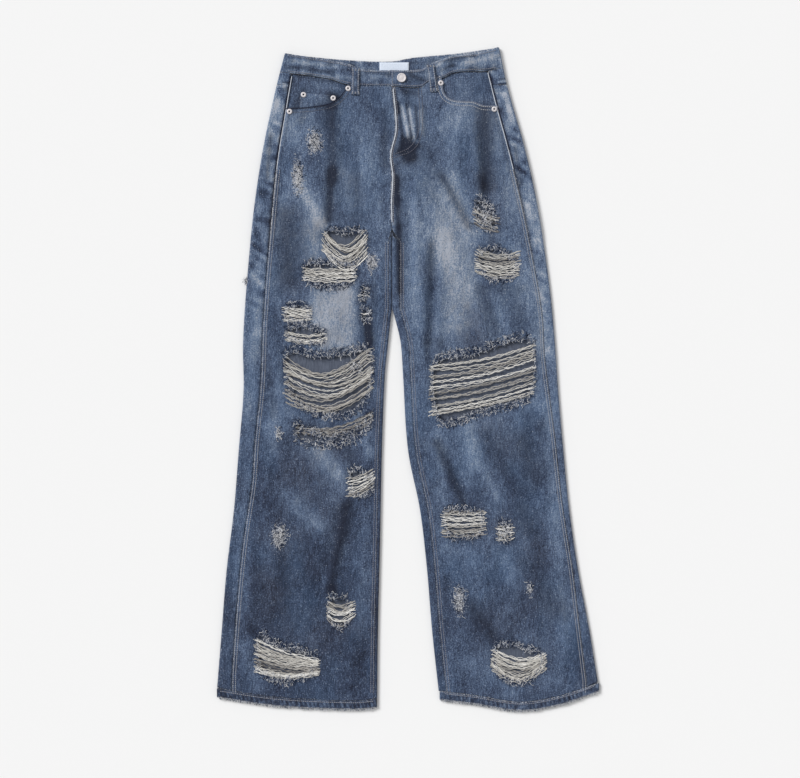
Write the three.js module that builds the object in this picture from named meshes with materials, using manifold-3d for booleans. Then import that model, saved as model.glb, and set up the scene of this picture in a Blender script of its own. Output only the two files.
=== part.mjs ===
// Ripped wide-leg jeans, laid flat on their back with the front up and the waist towards +Y.
// Millimetres, +Z up. The origin lies on the floor under the middle of the garment's box.
// Right and left are the wearer's, so the right leg lies at -X.
import * as THREE from 'three';
import { mergeVertices } from 'three/addons/utils/BufferGeometryUtils.js';
import Module from 'manifold-3d';

const wasm = await Module();
wasm.setup();

const { lerp, smoothstep } = THREE.MathUtils;

// Cloth and the heights at which its layers lie.
const DENIM = 1.2;
const GAP = 0.3;
const FOLD_RADIUS = 3;
const LEG_FACE = 6;
const HIP_FACE = 8;
const SEAT_LIFT = 1.5;
const SEAT_RAMP = { from: 205, to: 255 };
const LAYER = DENIM + GAP;

// Waistband, with its left end lapped over its right end.
const BAND_THICKNESS = 2.2;
const BAND_FACE = 8.4;
const LAP_START = -28;
const LAP_END = 10;
const LAP_RAMP = 16;
const LAP_RISE = BAND_THICKNESS + GAP;

// Turned hems.
const HEM_THICKNESS = 2.4;
const HEM_FACE = 6.6;
const HEM_DEPTH = 14;

// Crotch: the four panels meet at CROTCH, and the back panels curl round the inner leg below it.
const CENTRE = -26.4;
const CROTCH = 249;
const CURL_END = 225;
const LEG_CLEARANCE = 0.2;
const INNER_FOLD_TOP = 117;
const LEAST_CURL = 0.02;
const CURL_TAIL = 0.6;

// Levels across the panels, where their rows of points lie.
const FRONT_HIP_LEVELS = { top: 455, count: 7 };
const BACK_HIP_LEVELS = { top: 400, count: 5 };
const CROTCH_LEVELS = [241, 233];
const LEG_LEVELS = { bottom: -488, count: 21 };
const FRONT_COLUMNS = 10;
const POCKET_EDGE_STEPS = 12;
const HEM_STATIONS = 9;
const BEND_STEPS = 6;
const STRIP_ROWS = 3;
const FACING_GRID = { columns: 7, rows: 4 };
const COIN_COLUMNS = 4;
const TURNED_SIDES = 16;

// Trimming: cloth runs on past a line and is cut there, between two heights and well past its sides.
const RUN_ON = 4;
const CUT_HEIGHTS = { low: -5, high: 40 };
const BAND_CUT = { side: 300, top: 600 };
const POCKET_CUT = { side: 260, top: 560 };
const HEM_CUT = { side: 20, bottom: -600 };
const FAR_ALONG = 1000;
const WELD = 1e-4;

// A smooth curve through a few [at, value] points in rising order of at.
function curve(points) {
  const last = points.length - 1;
  const slopes = points.map((point, i) => {
    const before = points[Math.max(0, i - 1)];
    const after = points[Math.min(last, i + 1)];
    return (after[1] - before[1]) / (after[0] - before[0]);
  });
  return (at) => {
    let i = 0;
    while (i < last - 1 && at > points[i + 1][0]) {
      i += 1;
    }
    const span = points[i + 1][0] - points[i][0];
    const t = THREE.MathUtils.clamp((at - points[i][0]) / span, 0, 1);
    const rise = points[i + 1][1] - points[i][1];
    const ease = t * t * (3 - 2 * t);
    const lead = t * (1 - t) * (1 - t) * slopes[i] * span;
    const tail = t * t * (t - 1) * slopes[i + 1] * span;
    return points[i][1] + rise * ease + lead + tail;
  };
}

// Each leg's outline on the floor: x at a distance y along the leg.
const flyEdge = curve([[CROTCH, CENTRE], [294, -27.2], [332, -25.2], [370, -28.5], [411, -19.8],
  [483, -25.2], [507, -28]]);
const RIGHT = {
  side: -1,
  outer: curve([[-513, -315], [-414, -307], [-315, -299], [-216, -287], [-117, -279], [-18, -271],
    [56, -272], [155, -266], [279, -254], [378, -239], [477, -218], [536, -203]]),
  outseam: curve([[-488, -290], [-365, -281], [-267, -271], [-173, -257], [-101, -252], [-13, -243],
    [84, -239], [160, -234], [228, -228], [352, -216], [446, -201], [505, -191]]),
  innerFold: curve([[-541, -51], [-414, -49.5], [-266, -46], [-117, -43], [7, -38], [56, -33],
    [117, CENTRE - LEG_CLEARANCE]]),
  seamInset: 5,
  hem: curve([[-315, -524], [-218, -538], [-91, -544], [-51, -541]]),
};
const LEFT = {
  side: 1,
  outer: curve([[-513, 315], [-414, 299], [-315, 280.5], [-216, 266], [-117, 256], [-18, 247.5],
    [56, 242.5], [155, 233], [279, 214.5], [378, 193], [477, 165], [546, 150]]),
  outseam: curve([[-497, 294], [-409, 283], [-318, 272], [-200, 254], [-96, 242.5], [33, 226],
    [111, 221], [238, 198], [353, 172], [454, 145], [507, 131.5]]),
  innerFold: curve([[-528, 52], [-414, 39.6], [-315, 31.4], [-216, 19.8], [-117, 0], [7, -8.3],
    [56, -11.6], [81, -16.5], [117, CENTRE + LEG_CLEARANCE]]),
  seamInset: 13,
  hem: curve([[52, -528], [110, -535], [185, -546], [250, -536], [315, -514]]),
};

// Edges of the waistband, as y at x, on the front and on the back.
const frontBandTop = curve([[-203, 536], [-145, 527], [-97, 518], [-79, 510], [-26, 508], [20, 509],
  [36, 518], [53, 525], [71, 531], [111, 536], [150, 546]]);
const frontBandBottom = curve([[-208, 505], [-134, 495], [-101, 485], [-81, 482.5], [-31, 482],
  [20, 480], [36, 490], [56, 495], [78, 505], [132, 507], [155, 512]]);
const backBandTop = curve([[-203, 536], [-153, 530], [-96, 525], [-28, 523], [7, 529], [79, 536],
  [129, 543], [150, 546]]);
const BAND_FRONT_STATIONS = [-172, -134, -112, -100, -90, -79, -52, LAP_START, -8, LAP_END, 14, 20,
  26, 31, 36, 41, 46, 52, 58, 64, 71, 80, 90, 124];
const BAND_BACK_STATIONS = [129, 104, 79, 43, 7, -28, -62, -96, -125, -153, -178];
const BAND_FOLDS = { right: -207, left: 153 };
const BACK_BAND_DEPTH = 33;
const backBandBottom = (x) => backBandTop(x) - BACK_BAND_DEPTH;
const YOKE_AT_SIDE = 484;
const YOKE_AT_CENTRE = 428;

// Main folds of the front: soft ridges and troughs from one point to another, flat at the sides.
const FOLD_MARGIN = { none: 2 * FOLD_RADIUS, full: 35 };
const FOLDS = [
  { from: [-124, 395], to: [-118, 230], width: 16, height: 2.2 },
  { from: [-142, 380], to: [-140, 235], width: 14, height: -1.4 },
  { from: [55, 345], to: [112, 235], width: 18, height: 2.4 },
  { from: [42, 210], to: [48, -5], width: 16, height: 2 },
  { from: [112, 165], to: [140, 80], width: 16, height: 1.8 },
  { from: [-70, 170], to: [-62, 60], width: 14, height: 1.8 },
  { from: [-165, -120], to: [-120, -190], width: 18, height: 2 },
  { from: [-95, -205], to: [-125, -335], width: 16, height: 2.4 },
  { from: [-230, -150], to: [-215, -330], width: 20, height: 1.6 },
  { from: [55, -105], to: [90, -205], width: 18, height: 2.2 },
  { from: [150, -115], to: [200, -180], width: 18, height: 2 },
  { from: [110, -330], to: [125, -430], width: 18, height: 1.8 },
];

// Openings torn through the fronts: outline points round each, in order.
const RIPS_RIGHT = [
  [[-132, 236], [-104, 246], [-76, 232], [-82, 204], [-106, 182], [-128, 208]],
  [[-168, 186], [-128, 188], [-90, 180], [-96, 160], [-140, 156], [-166, 166]],
  [[-200, 116], [-176, 120], [-162, 108], [-176, 98], [-198, 100]],
  [[-198, 82], [-166, 84], [-138, 74], [-146, 62], [-190, 68]],
  [[-196, 44], [-140, 40], [-66, 46], [-62, 8], [-78, -40], [-122, -54], [-178, -36], [-198, 2]],
  [[-180, -82], [-164, -80], [-150, -88], [-160, -96], [-178, -94]],
  [[-94, -152], [-70, -158], [-58, -176], [-78, -190], [-92, -176]],
  [[-128, -362], [-104, -366], [-96, -390], [-112, -408], [-128, -390]],
  [[-238, -444], [-196, -436], [-158, -446], [-156, -472], [-192, -494], [-232, -476]],
];
const RIPS_LEFT = [
  [[44, 22], [110, 40], [198, 62], [200, -22], [140, -44], [72, -66], [50, -58]],
  [[112, 282], [126, 292], [138, 278], [130, 262], [116, 264]],
  [[118, 206], [146, 212], [176, 192], [170, 170], [140, 166], [122, 182]],
  [[64, -228], [98, -226], [120, -236], [114, -254], [74, -254]],
  [[150, -242], [164, -240], [168, -256], [156, -264]],
  [[148, -446], [180, -438], [216, -454], [210, -482], [180, -496], [152, -480]],
];

// Front pockets: the edge curve of each opening, from the waistband to the outseam.
const POCKET_EDGE_RIGHT = [[-98, 484], [-112, 465], [-129, 454], [-162, 448], [-202, 446]];
const POCKET_EDGE_LEFT = [[54, 498], [60, 470], [76, 459], [106, 457], [124, 451], [148, 450]];
const FACING_TUCK = 12;
const FACING_TOP = 470;
const COIN_POCKET = { left: -178, right: -119, top: [472, 466], bottom: 436 };

// Trim.
const LOOP_WIDTH = 13;
const LOOP_THICKNESS = 1.6;
const LOOP_ARCH = 1.2;
const LOOPS_FRONT = { right: [[-86, 512], [-86.5, 467]], left: [[36.5, 518], [43, 472]] };
const LOOPS_BACK = { right: -150, left: 98, below: 12, above: 1 };
const LABEL = { left: -47, right: 1.6, top: 521.5, bottom: 503, thickness: 0.6 };
const BUTTON = { x: -10.6, y: 495, radius: 7.6, height: 4, foot: 1, underRim: 1.4, rim: 2.8, dish: 0.4 };
const RIVET = { radius: 4.5, height: 1.6, rim: 0.5, crown: 0.6 };
const RIVETS = [[-172, 468, 1], [-123, 462, 1], [-98.5, 478, 0], [-195, 440, 0], [54, 487, 0],
  [142, 444, 0]];
const BACK_POCKET = { width: 146, side: 118, point: 148, top: 414, taper: 6, right: -128, left: 78 };

const INDIGO = '#4a5c80';
const INDIGO_DARK = '#3c4a68';
const COTTON_WHITE = '#e4e8ee';
const NICKEL = '#b9bcc2';
const CLOTH_LOOK = { roughness: 0.9, metalness: 0 };
const METAL_LOOK = { roughness: 0.35, metalness: 1 };

const group = new THREE.Group();

// Height of the underside above the floor.
function underside(y) {
  return SEAT_LIFT * smoothstep(y, SEAT_RAMP.from, SEAT_RAMP.to);
}

// How much of a fold is felt at a point: 1 on its line, 0 a width away.
function foldWeight(fold, x, y) {
  const [ax, ay] = fold.from;
  const [bx, by] = fold.to;
  const length = Math.hypot(bx - ax, by - ay);
  const along = ((x - ax) * (bx - ax) + (y - ay) * (by - ay)) / length;
  const across = ((x - ax) * (by - ay) - (y - ay) * (bx - ax)) / length;
  const ends = smoothstep(along, -fold.width, fold.width)
    * (1 - smoothstep(along, length - fold.width, length + fold.width));
  return ends * Math.exp(-((across / fold.width) ** 2));
}

// Height of the front's outer face, the same for every piece that shares it.
function face(x, y) {
  const base = lerp(LEG_FACE, HIP_FACE, smoothstep(y, SEAT_RAMP.from, SEAT_RAMP.to));
  const folds = FOLDS.reduce((sum, fold) => sum + fold.height * foldWeight(fold, x, y), 0);
  const leg = x < innerEdge(LEFT, y) ? RIGHT : LEFT;
  const fromOuter = Math.abs(x - leg.outer(y));
  const fromInner = y < CROTCH ? Math.abs(x - innerEdge(leg, y)) : Infinity;
  return base + folds * smoothstep(Math.min(fromOuter, fromInner), FOLD_MARGIN.none, FOLD_MARGIN.full);
}

// The edge of a leg at its inner fold, and on the centre line above the crotch.
function innerEdge(leg, y) {
  return y < INNER_FOLD_TOP ? leg.innerFold(y) : CENTRE + leg.side * LEG_CLEARANCE;
}

// How far the back panel has curled round the inner leg: 0 above the crotch, 1 down the leg.
function curl(y) {
  return 1 - smoothstep(y, CURL_END, CROTCH);
}

// A point on the shared front face, with its outward normal.
function facePoint(x, y, lift = 0) {
  const step = 1;
  const slopeX = (face(x + step, y) - face(x - step, y)) / (2 * step);
  const normal = new THREE.Vector3(-slopeX, 0, 1).normalize();
  return { point: new THREE.Vector3(x, y, face(x, y) + lift), normal };
}

// A point on the outside of a back panel. turn runs from 0 at the outseam to 1 at the outer fold,
// round it to 2, across the back to 3, round the inner fold to 4 and on to the inseam at 5.
function backPoint(leg, y, turn) {
  const { side } = leg;
  const low = underside(y);
  const foldX = leg.outer(y) - side * FOLD_RADIUS;
  if (turn <= 1) {
    return facePoint(lerp(leg.outseam(y) + side * GAP / 2, foldX, turn), y);
  }
  if (turn < 2) {
    const half = (face(foldX, y) - low) / 2;
    const angle = Math.PI * (1.5 - turn);
    const normal = new THREE.Vector3(side * Math.cos(angle) / FOLD_RADIUS, 0, Math.sin(angle) / half);
    const x = foldX + side * FOLD_RADIUS * Math.cos(angle);
    return { point: new THREE.Vector3(x, y, low + half * (1 + Math.sin(angle))),
      normal: normal.normalize() };
  }
  const curled = curl(y);
  const sweep = Math.PI * Math.max(curled, LEAST_CURL);
  const radius = Math.PI * FOLD_RADIUS / sweep;
  const tail = lerp(CURL_TAIL, leg.seamInset - FOLD_RADIUS - GAP / 2, smoothstep(curled, 0.7, 1));
  const straight = curled < 0.5 ? tail * Math.cos(sweep) : 0;
  const reach = radius * Math.sin(Math.min(sweep, Math.PI / 2)) + straight;
  const startX = innerEdge(leg, y) + side * reach;
  if (turn <= 3) {
    return { point: new THREE.Vector3(lerp(foldX, startX, turn - 2), y, low),
      normal: new THREE.Vector3(0, 0, -1) };
  }
  const stretch = (face(startX, y) - low) / (2 * FOLD_RADIUS);
  const swept = sweep * Math.min(turn - 3, 1);
  const along = tail * Math.max(turn - 4, 0);
  const x = startX - side * (radius * Math.sin(swept) + along * Math.cos(swept));
  const z = low + stretch * radius * (1 - Math.cos(swept)) + along * Math.sin(swept);
  const normal = new THREE.Vector3(-side * Math.sin(swept), 0, -Math.cos(swept));
  if (curled === 1 && turn >= 4) {
    return facePoint(x, y);
  }
  return { point: new THREE.Vector3(x, y, z), normal };
}

// A closed wall under a grid of outer points, each moved in by the thickness along its normal.
function wall(outer, thickness, ring = false) {
  const rows = outer.length;
  const columns = outer[0].length;
  const positions = [];
  for (const depth of [0, thickness]) {
    for (const row of outer) {
      for (const { point, normal } of row) {
        positions.push(...point.clone().addScaledVector(normal, -depth).toArray());
      }
    }
  }
  const at = (layer, i, j) => layer * rows * columns + i * columns + (j % columns);
  const faces = [];
  const quad = (a, b, c, d) => faces.push(a, b, c, a, c, d);
  const spans = ring ? columns : columns - 1;
  for (let i = 0; i < rows - 1; i += 1) {
    for (let j = 0; j < spans; j += 1) {
      quad(at(0, i, j), at(0, i, j + 1), at(0, i + 1, j + 1), at(0, i + 1, j));
      quad(at(1, i, j), at(1, i + 1, j), at(1, i + 1, j + 1), at(1, i, j + 1));
    }
  }
  for (let j = 0; j < spans; j += 1) {
    quad(at(0, 0, j + 1), at(0, 0, j), at(1, 0, j), at(1, 0, j + 1));
    quad(at(0, rows - 1, j), at(0, rows - 1, j + 1), at(1, rows - 1, j + 1), at(1, rows - 1, j));
  }
  for (let i = 0; i < rows - 1 && !ring; i += 1) {
    quad(at(0, i, 0), at(0, i + 1, 0), at(1, i + 1, 0), at(1, i, 0));
    quad(at(0, i + 1, columns - 1), at(0, i, columns - 1), at(1, i, columns - 1),
      at(1, i + 1, columns - 1));
  }
  return facingOut(positions, faces);
}

// An indexed geometry whose faces point out of the solid.
function facingOut(positions, faces) {
  const corner = (n) => new THREE.Vector3().fromArray(positions, 3 * n);
  let volume = 0;
  for (let f = 0; f < faces.length; f += 3) {
    const [a, b, c] = [corner(faces[f]), corner(faces[f + 1]), corner(faces[f + 2])];
    volume += a.dot(b.cross(c));
  }
  const geometry = new THREE.BufferGeometry();
  geometry.setAttribute('position', new THREE.Float32BufferAttribute(positions, 3));
  geometry.setIndex(volume < 0 ? faces.reverse() : faces);
  return geometry;
}

// Conversions to and from the boolean library's solids.
function toSolid(geometry) {
  const bare = geometry.clone();
  bare.deleteAttribute('normal');
  bare.deleteAttribute('uv');
  const merged = mergeVertices(bare, WELD);
  return new wasm.Manifold(new wasm.Mesh({
    numProp: 3,
    vertProperties: new Float32Array(merged.attributes.position.array),
    triVerts: new Uint32Array(merged.index.array),
  }));
}

function toGeometry(solid) {
  const mesh = solid.getMesh();
  const geometry = new THREE.BufferGeometry();
  geometry.setAttribute('position', new THREE.BufferAttribute(new Float32Array(mesh.vertProperties), 3));
  geometry.setIndex(new THREE.BufferAttribute(new Uint32Array(mesh.triVerts), 1));
  return geometry;
}

// A plate standing on z = low, cut to an outline.
function plate(outline, low, thickness) {
  const settings = { depth: thickness, bevelEnabled: false };
  return new THREE.ExtrudeGeometry(new THREE.Shape(outline), settings).translate(0, 0, low);
}

function vectors(points) {
  return points.map(([x, y]) => new THREE.Vector2(x, y));
}

// A closed smooth outline through a rip's points.
function tornOutline(points) {
  const corners = points.map(([x, y]) => new THREE.Vector3(x, y, 0));
  const loop = new THREE.CatmullRomCurve3(corners, true, 'centripetal');
  return loop.getPoints(2 * points.length).slice(0, -1).map((p) => new THREE.Vector2(p.x, p.y));
}

// A geometry with each outline cut straight down through it, between two heights.
function cutThrough(geometry, outlines, from = CUT_HEIGHTS.low, to = CUT_HEIGHTS.high) {
  const cut = outlines.reduce(
    (solid, outline) => solid.subtract(toSolid(plate(outline, from, to - from))),
    toSolid(geometry),
  );
  return toGeometry(cut);
}

// The outline that trims the cloth just below an edge of the waistband.
function bandCutter(stations, bottom) {
  const line = stations.map((x) => [x, bottom(x) - GAP]);
  const [right, left] = [BAND_FOLDS.right, BAND_FOLDS.left].map((x) => [x, frontBandBottom(x) - GAP]);
  const { side, top } = BAND_CUT;
  return vectors([[-side, right[1]], right, ...line, left, [side, left[1]], [side, top], [-side, top]]);
}

// Places across a hem where its ring has points, and the outline that trims a panel just above it.
function hemStations(leg) {
  const inner = leg.innerFold(-FAR_ALONG) + leg.side * HEM_FACE / 2;
  const outer = leg.outer(-FAR_ALONG) - leg.side * HEM_FACE / 2;
  return steps(inner, outer, HEM_STATIONS);
}

function hemCutter(leg) {
  const line = hemStations(leg).map((x) => [x, leg.hem(x) + HEM_DEPTH + GAP]);
  const [first, last] = [line[0], line.at(-1)];
  const beyond = HEM_CUT.side * leg.side;
  return vectors([[first[0] - beyond, HEM_CUT.bottom], [first[0] - beyond, first[1]], ...line,
    [last[0] + beyond, last[1]], [last[0] + beyond, HEM_CUT.bottom]]);
}

function add(name, geometry, color, look = CLOTH_LOOK) {
  const material = new THREE.MeshStandardMaterial({ color, ...look });
  const mesh = new THREE.Mesh(geometry, material);
  mesh.name = name;
  group.add(mesh);
}

// Evenly spaced values from first to last, both included.
function steps(first, last, count) {
  return Array.from({ length: count }, (_, i) => lerp(first, last, i / (count - 1)));
}

const legLevels = [...CROTCH_LEVELS, ...steps(CURL_END, LEG_LEVELS.bottom, LEG_LEVELS.count)];

// y of an edge line that is given as y at x, at the point where a panel's own column meets it.
function meet(line, xAt) {
  let y = line(xAt(0));
  for (let i = 0; i < 4; i += 1) {
    y = line(xAt(y));
  }
  return y;
}

// Top line of a yoke or back panel's column under the waistband, on the front or on the back.
function bandBottomAt(leg, turn) {
  const front = meet(frontBandBottom, (y) => backPoint(leg, y, Math.min(turn, 1)).point.x);
  const back = meet(backBandBottom, (y) => backPoint(leg, y, Math.max(turn, 2)).point.x);
  return lerp(front, back, smoothstep(turn, 1, 2));
}

function yokeSeam(turn) {
  return lerp(YOKE_AT_SIDE, YOKE_AT_CENTRE, THREE.MathUtils.clamp(turn - 2, 0, 1) ** 0.85);
}

// Fronts: the lid of each leg, from the outseam to the fly or inseam, cut by its rips and pocket.
function frontPanel(leg, rips, pocketEdge) {
  const columns = steps(0, 1, FRONT_COLUMNS);
  const xAt = (y, t) => {
    const seam = innerEdge(leg, y) + leg.side * (leg.seamInset + GAP / 2);
    const fly = flyEdge(Math.max(y, CROTCH)) + leg.side * GAP / 2;
    return lerp(leg.outseam(y) - leg.side * GAP / 2, lerp(fly, seam, curl(y)), t);
  };
  const levels = [...steps(FRONT_HIP_LEVELS.top, CROTCH, FRONT_HIP_LEVELS.count), ...legLevels];
  const top = columns.map((t) => meet(frontBandBottom, (y) => xAt(y, t)) + RUN_ON);
  const hem = columns.map((t) => meet(leg.hem, (y) => xAt(y, t)) + HEM_DEPTH - RUN_ON);
  const rows = [top, ...levels.map((y) => columns.map(() => y)), hem];
  const grid = rows.map((row) => row.map((y, j) => facePoint(xAt(y, columns[j]), y)));
  const mouth = new THREE.SplineCurve(vectors(pocketEdge)).getPoints(POCKET_EDGE_STEPS);
  const [besideX, aboveY] = [leg.side * POCKET_CUT.side, POCKET_CUT.top];
  const corner = [[besideX, pocketEdge.at(-1)[1]], [besideX, aboveY], [pocketEdge[0][0], aboveY]];
  const pocket = [...mouth, ...vectors(corner)];
  const underBand = bandCutter(BAND_FRONT_STATIONS, frontBandBottom);
  return cutThrough(wall(grid, DENIM), [underBand, hemCutter(leg), pocket, ...rips.map(tornOutline)]);
}

// Backs: from the outseam on top, round the outer fold, flat on the floor and up the inner fold.
function backPanel(leg) {
  const columns = [0, 1, 1.25, 1.5, 1.75, 2, ...steps(2.2, 3, 5), 3.25, 3.5, 3.75, 4, 5];
  const levels = [...steps(BACK_HIP_LEVELS.top, CROTCH, BACK_HIP_LEVELS.count), ...legLevels];
  const hemLine = columns.map((turn) => meet(leg.hem, (y) => backPoint(leg, y, turn).point.x));
  const hem = hemLine.map((y) => y + HEM_DEPTH - RUN_ON);
  const top = columns.map((turn) => yokeSeam(turn) - GAP / 2);
  const rows = [top, ...levels.map((y) => columns.map(() => y)), hem];
  const grid = rows.map((row) => row.map((y, j) => backPoint(leg, y, columns[j])));
  return cutThrough(wall(grid, DENIM), [hemCutter(leg)]);
}

function yoke(leg) {
  const columns = [0, 1, 1.25, 1.5, 1.75, 2, ...steps(2.2, 3, 5), 4, 5];
  const rows = steps(0, 1, STRIP_ROWS).map((t) => columns.map((turn) => {
    const y = lerp(bandBottomAt(leg, turn) + RUN_ON, yokeSeam(turn) + GAP / 2, t);
    return backPoint(leg, y, turn);
  }));
  const middle = (HIP_FACE + SEAT_LIFT) / 2;
  const back = [...BAND_BACK_STATIONS].reverse();
  const lower = cutThrough(wall(rows, DENIM), [bandCutter(back, backBandBottom)], CUT_HEIGHTS.low, middle);
  return cutThrough(lower, [bandCutter(BAND_FRONT_STATIONS, frontBandBottom)], middle);
}

// Waistband: one strip from the lap on the left front, round the back, to its end under the lap.
function bandPoint(x, front, upper, lapped) {
  const rise = lapped ? LAP_RISE * (1 - smoothstep(x, LAP_END + 2, LAP_END + LAP_RAMP)) : 0;
  const topLine = front ? frontBandTop : backBandTop;
  const bottom = front ? frontBandBottom(x) : backBandBottom(x);
  const z = front ? BAND_FACE + rise : SEAT_LIFT;
  return { point: new THREE.Vector3(x, lerp(bottom, topLine(x), upper), z),
    normal: new THREE.Vector3(0, 0, front ? 1 : -1) };
}

function bandFold(leg, angle, upper) {
  const foldX = leg.side < 0 ? BAND_FOLDS.right : BAND_FOLDS.left;
  const y = lerp(frontBandBottom(foldX), frontBandTop(leg.side * FAR_ALONG), upper);
  const half = (BAND_FACE - SEAT_LIFT) / 2;
  const x = leg.outer(y) - leg.side * FOLD_RADIUS * (1 - Math.cos(angle));
  const normal = new THREE.Vector3(leg.side * Math.cos(angle) / FOLD_RADIUS, 0, Math.sin(angle) / half);
  return { point: new THREE.Vector3(x, y, SEAT_LIFT + half * (1 + Math.sin(angle))),
    normal: normal.normalize() };
}

function waistband() {
  const angles = steps(Math.PI / 2, -Math.PI / 2, BEND_STEPS);
  const frontLeft = BAND_FRONT_STATIONS.filter((x) => x >= LAP_START);
  const frontRight = BAND_FRONT_STATIONS.filter((x) => x <= LAP_END);
  const rows = steps(0, 1, STRIP_ROWS).map((upper) => [
    ...frontLeft.map((x) => bandPoint(x, true, upper, true)),
    ...angles.map((angle) => bandFold(LEFT, angle, upper)),
    ...BAND_BACK_STATIONS.map((x) => bandPoint(x, false, upper, false)),
    ...[...angles].reverse().map((angle) => bandFold(RIGHT, angle, upper)),
    ...frontRight.map((x) => bandPoint(x, true, upper, false)),
  ]);
  return wall(rows, BAND_THICKNESS);
}

// Hems: a flattened ring of doubled cloth round each leg's end.
function hemRing(leg) {
  const { side } = leg;
  const across = hemStations(leg);
  const [innerX, outerX] = [across[0], across.at(-1)];
  const angles = steps(Math.PI / 2, -Math.PI / 2, BEND_STEPS).slice(1, -1);
  const half = HEM_FACE / 2;
  const ringRow = (lift) => {
    const flat = (x, z, nz) => ({
      point: new THREE.Vector3(x, leg.hem(x) + lift, z),
      normal: new THREE.Vector3(0, 0, nz),
    });
    const fold = (centreX, way, angle) => ({
      point: new THREE.Vector3(centreX + way * half * Math.cos(angle), leg.hem(centreX) + lift,
        half * (1 + Math.sin(angle))),
      normal: new THREE.Vector3(way * Math.cos(angle), 0, Math.sin(angle)),
    });
    return [
      ...across.map((x) => flat(x, HEM_FACE, 1)),
      ...angles.map((angle) => fold(outerX, side, angle)),
      ...[...across].reverse().map((x) => flat(x, 0, -1)),
      ...[...angles].reverse().map((angle) => fold(innerX, -side, angle)),
    ];
  };
  return wall([ringRow(0), ringRow(HEM_DEPTH)], HEM_THICKNESS, true);
}

// Pocket facings and the coin pocket: layers under the front, seen through the pocket opening.
function layerUnderFront(xs, topAt, bottomAt, layers) {
  const rows = steps(0, 1, FACING_GRID.rows).map((t) => xs.map((x) => {
    const y = lerp(topAt(x), bottomAt(x), t);
    return facePoint(x, y, -layers * LAYER);
  }));
  return wall(rows, DENIM);
}

function pocketFacing(leg, edge) {
  const points = [...edge].sort((a, b) => a[0] - b[0]);
  const edgeAt = curve(points);
  const inside = edge[0][0] - leg.side * FACING_TUCK;
  const xs = steps(inside, leg.outseam(FACING_TOP) - leg.side, FACING_GRID.columns);
  const seamLow = (x) => Math.min(edgeAt(x), FACING_TOP) - FACING_TUCK;
  return layerUnderFront(xs, (x) => frontBandBottom(x) - GAP, seamLow, 2);
}

function coinPocket() {
  const { left, right, top, bottom } = COIN_POCKET;
  const xs = steps(left, right, COIN_COLUMNS);
  const topAt = (x) => lerp(top[0], top[1], (x - left) / (right - left));
  return layerUnderFront(xs, topAt, () => bottom, 1);
}

// Belt loops: strips laid over the waistband, tacked above it and below it.
function frontLoop(top, bottom) {
  const heights = [0, 0.5, 1, 0.5, 0];
  const rows = heights.map((arch, i) => {
    const t = i / (heights.length - 1);
    const [x, y] = [lerp(top[0], bottom[0], t), lerp(top[1], bottom[1], t)];
    const bedding = y < frontBandBottom(x) - RUN_ON ? face(x, y) : BAND_FACE;
    const z = bedding + GAP + LOOP_THICKNESS + arch * LOOP_ARCH;
    return [-0.5, 0.5].map((w) => ({
      point: new THREE.Vector3(x + w * LOOP_WIDTH, y, z),
      normal: new THREE.Vector3(0, 0, 1),
    }));
  });
  return wall(rows, LOOP_THICKNESS);
}

function backLoop(x) {
  const [low, high] = [backBandBottom(x) - LOOPS_BACK.below, backBandTop(x) - LOOPS_BACK.above];
  const half = LOOP_WIDTH / 2;
  return plate(vectors([[x - half, low], [x + half, low], [x + half, high], [x - half, high]]), 0, DENIM);
}

// Back pockets: five-sided patches under the seat.
function backPocket(x) {
  const { width, side, point, top, taper } = BACK_POCKET;
  const half = width / 2;
  return plate(vectors([[x - half, top], [x - half + taper, top - side], [x, top - point],
    [x + half - taper, top - side], [x + half, top]]), 0, DENIM);
}

// Size label: blank cotton on the inside of the back waistband.
function sizeLabel() {
  const { left, right, top, bottom, thickness } = LABEL;
  const outline = vectors([[left, bottom], [right, bottom], [right, top], [left, top]]);
  return plate(outline, SEAT_LIFT + BAND_THICKNESS + GAP, thickness);
}

// Metal trim, turned shapes standing on the cloth.
function turned(profile, x, y, z) {
  const geometry = new THREE.LatheGeometry(vectors(profile), TURNED_SIDES);
  return geometry.rotateX(Math.PI / 2).translate(x, y, z + GAP);
}

function rivet(x, y, z) {
  const { radius, height, rim, crown } = RIVET;
  return turned([[0, 0], [radius, 0], [radius, rim], [radius * crown, height], [0, height]], x, y, z);
}

function button() {
  const { x, y, radius, height, foot, underRim, rim, dish } = BUTTON;
  const profile = [[0, 0], [radius * 0.5, 0], [radius * 0.5, foot], [radius, underRim], [radius, rim],
    [radius * 0.85, height], [0, height - dish]];
  return turned(profile, x, y, BAND_FACE + LAP_RISE);
}

add('front_panel_right', frontPanel(RIGHT, RIPS_RIGHT, POCKET_EDGE_RIGHT), INDIGO);
add('front_panel_left', frontPanel(LEFT, RIPS_LEFT, POCKET_EDGE_LEFT), INDIGO);
add('back_panel_right', backPanel(RIGHT), INDIGO_DARK);
add('back_panel_left', backPanel(LEFT), INDIGO_DARK);
add('yoke_right', yoke(RIGHT), INDIGO_DARK);
add('yoke_left', yoke(LEFT), INDIGO_DARK);
add('waistband', waistband(), INDIGO);
add('hem_right', hemRing(RIGHT), INDIGO);
add('hem_left', hemRing(LEFT), INDIGO);
add('pocket_facing_right', pocketFacing(RIGHT, POCKET_EDGE_RIGHT), INDIGO_DARK);
add('pocket_facing_left', pocketFacing(LEFT, POCKET_EDGE_LEFT), INDIGO_DARK);
add('coin_pocket', coinPocket(), INDIGO);
add('belt_loop_front_right', frontLoop(...LOOPS_FRONT.right), INDIGO);
add('belt_loop_front_left', frontLoop(...LOOPS_FRONT.left), INDIGO);
add('belt_loop_back_right', backLoop(LOOPS_BACK.right), INDIGO_DARK);
add('belt_loop_back_centre', backLoop(CENTRE), INDIGO_DARK);
add('belt_loop_back_left', backLoop(LOOPS_BACK.left), INDIGO_DARK);
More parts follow.
